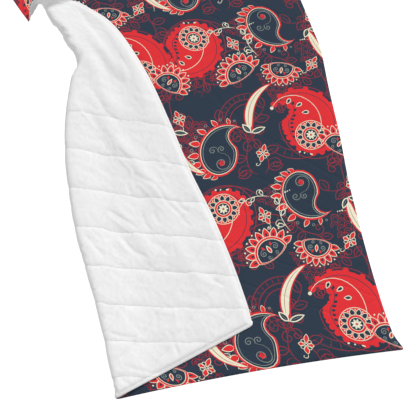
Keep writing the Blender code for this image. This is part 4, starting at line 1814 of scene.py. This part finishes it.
    def crumples(self, cloth: Points) -> Points:
        """Uneven crumples of thin cloth: soft hills with pinched lines, drawn out one way.

        Args:
            cloth: places on the cloth, from the free edge and the near hem.

        Returns:
            Heights.
        """
        # They run along a direction 37 degrees off the rows, a little bent, and lie in patches
        bend = 0.012 * cloth_noise(cloth, (0.060, 0.060), 41.0)
        turned = cloth @ np.array([[0.8, 0.6], [-0.6, 0.8]]) + bend[:, None]
        patches = np.clip(0.60 + 0.9 * cloth_noise(cloth, (0.110, 0.150), 43.0), 0.15, 1.1)
        coarse = 0.5 - np.abs(cloth_noise(turned, (0.040, 0.110), 17.0))
        fine = 0.5 - np.abs(cloth_noise(turned, (0.017, 0.040), 19.0))
        height = patches * (self.coarse * coarse + self.fine * fine)
        height += self.swell * cloth_noise(cloth, (0.110, 0.150), 11.0)
        return height + self.grain * cloth_noise(cloth, (0.012, 0.026), 29.0)


# Finishes

def add_node(tree: bpy.types.NodeTree, kind: str, settings: dict | None = None,
             links: dict | None = None) -> bpy.types.Node:
    """Adds a node with its settings and links.

    Args:
        tree: the material's nodes.
        kind: the node's type.
        settings: values by attribute name, or by input name or number.
        links: output sockets by input name or number.

    Returns:
        The node.
    """
    node = tree.nodes.new(kind)
    for name, value in (settings or {}).items():
        if isinstance(name, str) and hasattr(node, name):
            setattr(node, name, value)
        else:
            node.inputs[name].default_value = value
    for name, socket in (links or {}).items():
        tree.links.new(socket, node.inputs[name])
    return node


@dataclass(frozen=True)
class Weave:
    """Plain weave, as two waves that cross.

    Real threads of these cloths are 0.2 mm apart, far too fine to show from above the
    quilt. They are drawn this coarse so that a close view shows a woven cloth.
    """

    pitch: float = 0.0024

    def height(self, tree: bpy.types.NodeTree, cloth: bpy.types.Node) -> bpy.types.NodeSocket:
        """Adds the threads' height, 0 to 1.

        Args:
            tree: the material's nodes.
            cloth: the node that gives the place on the cloth in metres.

        Returns:
            The height.
        """
        # At scale 1 a wave's bands are pi / 10 apart
        scale = math.pi / (10.0 * self.pitch)
        warp, weft = (add_node(tree, "ShaderNodeTexWave",
                               {"bands_direction": way, "Scale": scale, "Distortion": 0.35,
                                "Detail": 1.0}, {"Vector": cloth.outputs["UV"]})
                      for way in "XY")
        both = add_node(tree, "ShaderNodeMath", {"operation": "MAXIMUM"},
                        {0: warp.outputs["Fac"], 1: weft.outputs["Fac"]})
        return both.outputs[0]


@dataclass(frozen=True)
class Stitching:
    """The quilting's thread: lines where a phase is whole, dashed along the other one.

    The thread is drawn 2 mm wide, half a pixel, and a stitch 5 to 8 mm long, because real
    ones of 0.3 and 3 mm are too fine to show.
    """

    half: float = 0.0085
    stitches: float = 29.0
    ditch: float = 0.085
    fades_from: float = 4.9
    fades_to: float = 5.6

    def near(self, tree: bpy.types.NodeTree, phase: bpy.types.NodeSocket,
             reach: float) -> bpy.types.NodeSocket:
        """Adds how near a phase is to a whole number: 1 on the line, 0 from a reach on.

        Args:
            tree: the material's nodes.
            phase: the phase.
            reach: how far a line reaches, as a share of the distance between two lines.

        Returns:
            The nearness.
        """
        away = add_node(tree, "ShaderNodeMath", {"operation": "PINGPONG", 1: 0.5}, {0: phase})
        near = add_node(tree, "ShaderNodeMapRange",
                        {"interpolation_type": "SMOOTHSTEP", "From Max": reach,
                         "To Min": 1.0, "To Max": 0.0}, {"Value": away.outputs[0]})
        return near.outputs["Result"]

    def taut(self, tree: bpy.types.NodeTree,
             rising: bpy.types.NodeSocket) -> bpy.types.NodeSocket:
        """Adds the share to which the seams are drawn tight: none at the flap's far end.

        Args:
            tree: the material's nodes.
            rising: phase of the rising lines.

        Returns:
            The share.
        """
        share = add_node(tree, "ShaderNodeMapRange",
                         {"From Min": self.fades_from, "From Max": self.fades_to,
                          "To Min": 1.0, "To Max": 0.0}, {"Value": rising})
        return share.outputs["Result"]

    def thread(self, tree: bpy.types.NodeTree,
               phases: bpy.types.Node) -> bpy.types.NodeSocket:
        """Adds the thread's mask: both families' stitches, weaker for the falling one.

        Args:
            tree: the material's nodes.
            phases: the node whose X and Y are the two phases.

        Returns:
            The mask.
        """
        lines = []
        for along, across, weight in (("X", "Y", 1.0), ("Y", "X", 0.35)):
            line = self.near(tree, phases.outputs[along], self.half)
            run = add_node(tree, "ShaderNodeMath", {"operation": "MULTIPLY", 1: self.stitches},
                           {0: phases.outputs[across]})
            part = add_node(tree, "ShaderNodeMath", {"operation": "PINGPONG", 1: 0.5},
                            {0: run.outputs[0]})
            stitch = add_node(tree, "ShaderNodeMapRange",
                              {"From Min": 0.08, "From Max": 0.16, "To Max": weight},
                              {"Value": part.outputs[0]})
            shown = add_node(tree, "ShaderNodeMath", {"operation": "MULTIPLY"},
                             {0: line, 1: stitch.outputs["Result"]})
            lines.append(shown.outputs[0])
        both = add_node(tree, "ShaderNodeMath", {"operation": "MAXIMUM"},
                        {0: lines[0], 1: lines[1]})
        held = add_node(tree, "ShaderNodeMath", {"operation": "MULTIPLY"},
                        {0: both.outputs[0], 1: self.taut(tree, phases.outputs["X"])})
        return held.outputs[0]

    def pads(self, tree: bpy.types.NodeTree, phases: bpy.types.Node) -> bpy.types.NodeSocket:
        """Adds the padding's height between the lines, 1 at its top and 0 in a seam.

        Args:
            tree: the material's nodes.
            phases: the node whose X and Y are the two phases.

        Returns:
            The height.
        """
        rising = self.near(tree, phases.outputs["X"], self.ditch)
        falling = self.near(tree, phases.outputs["Y"], self.ditch)
        sunk = add_node(tree, "ShaderNodeMath", {"operation": "MAXIMUM"},
                        {0: rising, 1: falling})
        height = add_node(tree, "ShaderNodeMath", {"operation": "SUBTRACT", 0: 1.0},
                          {1: sunk.outputs[0]})
        return height.outputs[0]


@dataclass(frozen=True)
class PrintedMicrofibre:
    """Plain-woven polyester microfibre, printed by rotary screens.

    The ink lies in the threads, so the eye sees dense matt colour that is a little uneven
    from thread to thread, and the quilting of the back shows through as shallow pads.
    """

    weave: Weave = Weave()
    stitching: Stitching = Stitching()
    roughness: float = 0.82
    sheen: float = 0.03

    def material(self) -> bpy.types.Material:
        """Makes the material.

        Returns:
            The material.
        """
        material = bpy.data.materials.new("printed_microfibre")
        material.use_nodes = True
        tree = material.node_tree
        shader = tree.nodes["Principled BSDF"]
        shader.inputs["Sheen Weight"].default_value = self.sheen
        shader.inputs["Sheen Roughness"].default_value = 0.5
        shader.inputs["Specular IOR Level"].default_value = 0.08
        ink = add_node(tree, "ShaderNodeVertexColor", {"layer_name": "ink"})
        cloth = add_node(tree, "ShaderNodeUVMap", {"uv_map": "cloth"})
        seams = add_node(tree, "ShaderNodeUVMap", {"uv_map": "seams"})
        phases = add_node(tree, "ShaderNodeSeparateXYZ", links={0: seams.outputs["UV"]})
        # Uneven uptake of the ink, in spots of 4 mm
        mottle = add_node(tree, "ShaderNodeTexNoise", {"Scale": 260.0, "Detail": 3.0},
                          {"Vector": cloth.outputs["UV"]})
        shade = add_node(tree, "ShaderNodeMapRange",
                         {"From Min": 0.3, "From Max": 0.7, "To Min": 0.90, "To Max": 1.07},
                         {"Value": mottle.outputs["Fac"]})
        tint = add_node(tree, "ShaderNodeVectorMath", {"operation": "SCALE"},
                        {0: ink.outputs["Color"], "Scale": shade.outputs["Result"]})
        tree.links.new(tint.outputs["Vector"], shader.inputs["Base Color"])
        rough = add_node(tree, "ShaderNodeMapRange",
                         {"To Min": self.roughness - 0.06, "To Max": self.roughness + 0.06},
                         {"Value": mottle.outputs["Fac"]})
        tree.links.new(rough.outputs["Result"], shader.inputs["Roughness"])
        threads = add_node(tree, "ShaderNodeBump", {"Strength": 0.5, "Distance": 0.00012},
                           {"Height": self.weave.height(tree, cloth)})
        padded = add_node(tree, "ShaderNodeBump", {"Strength": 0.8, "Distance": 0.0012},
                          {"Height": self.stitching.pads(tree, phases),
                           "Normal": threads.outputs["Normal"]})
        tree.links.new(padded.outputs["Normal"], shader.inputs["Normal"])
        return material


@dataclass(frozen=True)
class BrushedMicrofibre:
    """White polyester microfibre, woven and brushed on one side.

    The raised fibres scatter the light, so the eye sees a matt white with a soft bloom at
    its edges. The thin cloth keeps small creases between its stitches. Its white thread sits
    in the seams as a fine grey dashed line: painted shade of the seams' hollows and holes.
    """

    weave: Weave = Weave(0.0026)
    stitching: Stitching = Stitching()
    shaded: str = "e6e6e6"
    lit: str = "efefef"
    # Painted shade: the grey that the white thread and its needle holes take down in the seams
    thread: str = "bfc1c4"
    roughness: float = 0.9
    sheen: float = 0.2

    def material(self) -> bpy.types.Material:
        """Makes the material.

        Returns:
            The material.
        """
        material = bpy.data.materials.new("brushed_microfibre")
        material.use_nodes = True
        tree = material.node_tree
        shader = tree.nodes["Principled BSDF"]
        shader.inputs["Sheen Weight"].default_value = self.sheen
        shader.inputs["Specular IOR Level"].default_value = 0.2
        cloth = add_node(tree, "ShaderNodeUVMap", {"uv_map": "cloth"})
        seams = add_node(tree, "ShaderNodeUVMap", {"uv_map": "seams"})
        phases = add_node(tree, "ShaderNodeSeparateXYZ", links={0: seams.outputs["UV"]})
        # The nap lies in patches of 11 mm, drawn as lit and shaded whites: painted light and
        # shade at random
        nap = add_node(tree, "ShaderNodeTexNoise", {"Scale": 90.0, "Detail": 4.0},
                       {"Vector": cloth.outputs["UV"]})
        painted_light_tone = add_node(tree, "ShaderNodeMix", {"data_type": "RGBA"},
                        {0: nap.outputs["Fac"]})
        painted_light_tone.inputs[6].default_value = linear(self.shaded)
        painted_light_tone.inputs[7].default_value = linear(self.lit)
        thread = self.stitching.thread(tree, phases)
        # Painted shade: the stitches are mixed towards grey for the shade in the seams' hollows
        stitched_with_painted_shade = add_node(tree, "ShaderNodeMix", {"data_type": "RGBA"},
                        {0: thread, 6: painted_light_tone.outputs[2]})
        stitched_with_painted_shade.inputs[7].default_value = linear(self.thread)
        tree.links.new(stitched_with_painted_shade.outputs[2], shader.inputs["Base Color"])
        rough = add_node(tree, "ShaderNodeMapRange",
                         {"To Min": self.roughness - 0.08, "To Max": self.roughness + 0.04},
                         {"Value": nap.outputs["Fac"]})
        tree.links.new(rough.outputs["Result"], shader.inputs["Roughness"])
        # Creases of 17 mm, fluff of 3 mm, then the threads
        crease = add_node(tree, "ShaderNodeTexNoise",
                          {"Scale": 58.0, "Detail": 2.0, "Distortion": 0.6},
                          {"Vector": cloth.outputs["UV"]})
        fluff = add_node(tree, "ShaderNodeTexNoise", {"Scale": 340.0, "Detail": 2.0},
                         {"Vector": cloth.outputs["UV"]})
        threads = add_node(tree, "ShaderNodeBump", {"Strength": 0.5, "Distance": 0.00012},
                           {"Height": self.weave.height(tree, cloth)})
        fluffy = add_node(tree, "ShaderNodeBump", {"Strength": 0.6, "Distance": 0.0003},
                          {"Height": fluff.outputs["Fac"],
                           "Normal": threads.outputs["Normal"]})
        creased = add_node(tree, "ShaderNodeBump", {"Strength": 0.7, "Distance": 0.0012},
                           {"Height": crease.outputs["Fac"],
                            "Normal": fluffy.outputs["Normal"]})
        pulled = add_node(tree, "ShaderNodeBump",
                          {"invert": True, "Strength": 0.7, "Distance": 0.0006},
                          {"Height": thread, "Normal": creased.outputs["Normal"]})
        tree.links.new(pulled.outputs["Normal"], shader.inputs["Normal"])
        return material


# The studio

@dataclass
class Studio:
    """A white floor, soft light from the far right, and the photograph's viewpoint.

    The picture is 416 by 416, and focal is its focal length in those pixels.
    """

    tilt: float = 18.0
    roll: float = 9.5
    distance: float = 2.2515
    target: tuple[float, float] = (0.1224, -0.394)
    focal: float = 620.9
    picture: float = 416.0
    sensor: float = 36.0
    sky: float = 0.44
    sun_from: tuple[float, float, float] = (1.0, 0.95, 0.95)
    sun_angle: float = 14.0
    sun_strength: float = 2.45
    floor_size: float = 40.0
    floor_drop: float = 0.0005
    floor_glow: float = 0.92

    def build(self) -> None:
        """Makes the floor, the lights and the camera."""
        self.floor()
        self.sun()
        self.lamp("fill", (-1.7, -2.6, 2.4), 2.2, 15.0)
        self.lamp("edge_light", (-3.2, -0.9, 0.75), 1.6, 17.0)
        world = bpy.data.worlds.new("studio")
        world.use_nodes = True
        backdrop = world.node_tree.nodes["Background"]
        backdrop.inputs["Color"].default_value = (1.0, 1.0, 1.0, 1.0)
        backdrop.inputs["Strength"].default_value = self.sky
        bpy.context.scene.world = world
        bpy.context.scene.view_settings.view_transform = "Standard"
        self.camera()

    def floor(self) -> None:
        """A plain pale floor, lit from within so that it stays white right up to the cloth."""
        mesh = bmesh.new()
        bmesh.ops.create_grid(mesh, x_segments=1, y_segments=1, size=self.floor_size)
        bmesh.ops.translate(mesh, verts=mesh.verts, vec=(0.0, 0.0, -self.floor_drop))
        data = bpy.data.meshes.new("floor")
        mesh.to_mesh(data)
        mesh.free()
        paper = bpy.data.materials.new("matt_paper")
        paper.use_nodes = True
        shader = paper.node_tree.nodes["Principled BSDF"]
        shader.inputs["Base Color"].default_value = (0.30, 0.30, 0.30, 1.0)
        shader.inputs["Emission Color"].default_value = (1.0, 1.0, 1.0, 1.0)
        shader.inputs["Emission Strength"].default_value = self.floor_glow
        shader.inputs["Roughness"].default_value = 1.0
        shader.inputs["Specular IOR Level"].default_value = 0.0
        data.materials.append(paper)
        floor = bpy.data.objects.new("floor", data)
        floor.visible_diffuse = False
        bpy.context.scene.collection.objects.link(floor)

    def sun(self) -> None:
        """A far soft light from the far right: it draws the seams and creases."""
        data = bpy.data.lights.new("key", "SUN")
        data.angle = math.radians(self.sun_angle)
        data.energy = self.sun_strength
        lamp = bpy.data.objects.new("key", data)
        lamp.rotation_euler = Vector(self.sun_from).to_track_quat("Z", "Y").to_euler()
        bpy.context.scene.collection.objects.link(lamp)

    @staticmethod
    def lamp(name: str, place: tuple[float, float, float], size: float, power: float) -> None:
        """A square soft light that points at the quilt's middle.

        Args:
            name: its name.
            place: where it stands.
            size: its side.
            power: its power in watts.
        """
        data = bpy.data.lights.new(name, "AREA")
        data.size = size
        data.energy = power
        lamp = bpy.data.objects.new(name, data)
        lamp.location = place
        lamp.rotation_euler = Vector(place).to_track_quat("Z", "Y").to_euler()
        bpy.context.scene.collection.objects.link(lamp)

    def camera(self) -> None:
        """The viewpoint: tilted off the plumb line and rolled."""
        tilt, roll = math.radians(self.tilt), math.radians(self.roll)
        right = Vector((math.cos(roll), -math.sin(roll), 0.0))
        look = Vector((math.sin(tilt) * math.sin(roll), math.sin(tilt) * math.cos(roll),
                       -math.cos(tilt)))
        up = right.cross(look)
        data = bpy.data.cameras.new("camera")
        data.sensor_width = self.sensor
        data.lens = self.focal / self.picture * self.sensor
        camera = bpy.data.objects.new("camera", data)
        turn = Matrix((right, up, -look)).transposed().to_4x4()
        camera.matrix_world = Matrix.Translation(
            Vector((*self.target, 0.0)) - look * self.distance) @ turn
        bpy.context.scene.collection.objects.link(camera)
        bpy.context.scene.camera = camera


def report_piece(item: bpy.types.Object) -> None:
    """Logs a piece's size.

    Args:
        item: the piece.
    """
    corners = np.array([v.co for v in item.data.vertices])
    log.info("%s: %d faces, from %s to %s", item.name, len(item.data.polygons),
             corners.min(axis=0).round(4), corners.max(axis=0).round(4))


def main() -> None:
    """Builds the quilt and its studio."""
    form = FoldedForm()
    cutting = Cutting(form)
    quilting = Quilting()
    top = PrintedTop(form, cutting, PrintDesign(), quilting).build()
    top.data.materials.append(PrintedMicrofibre().material())
    back = QuiltedBack(form, cutting, quilting).build()
    back.data.materials.append(BrushedMicrofibre().material())
    for item, node, slot in ((top, "printed_top", "printed_cloth"),
                             (back, "quilted_back", "white_cloth")):
        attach(item, "root")
        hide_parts(node)
        report_piece(item)
    Studio().build()


if __name__ == "__main__":
    main()
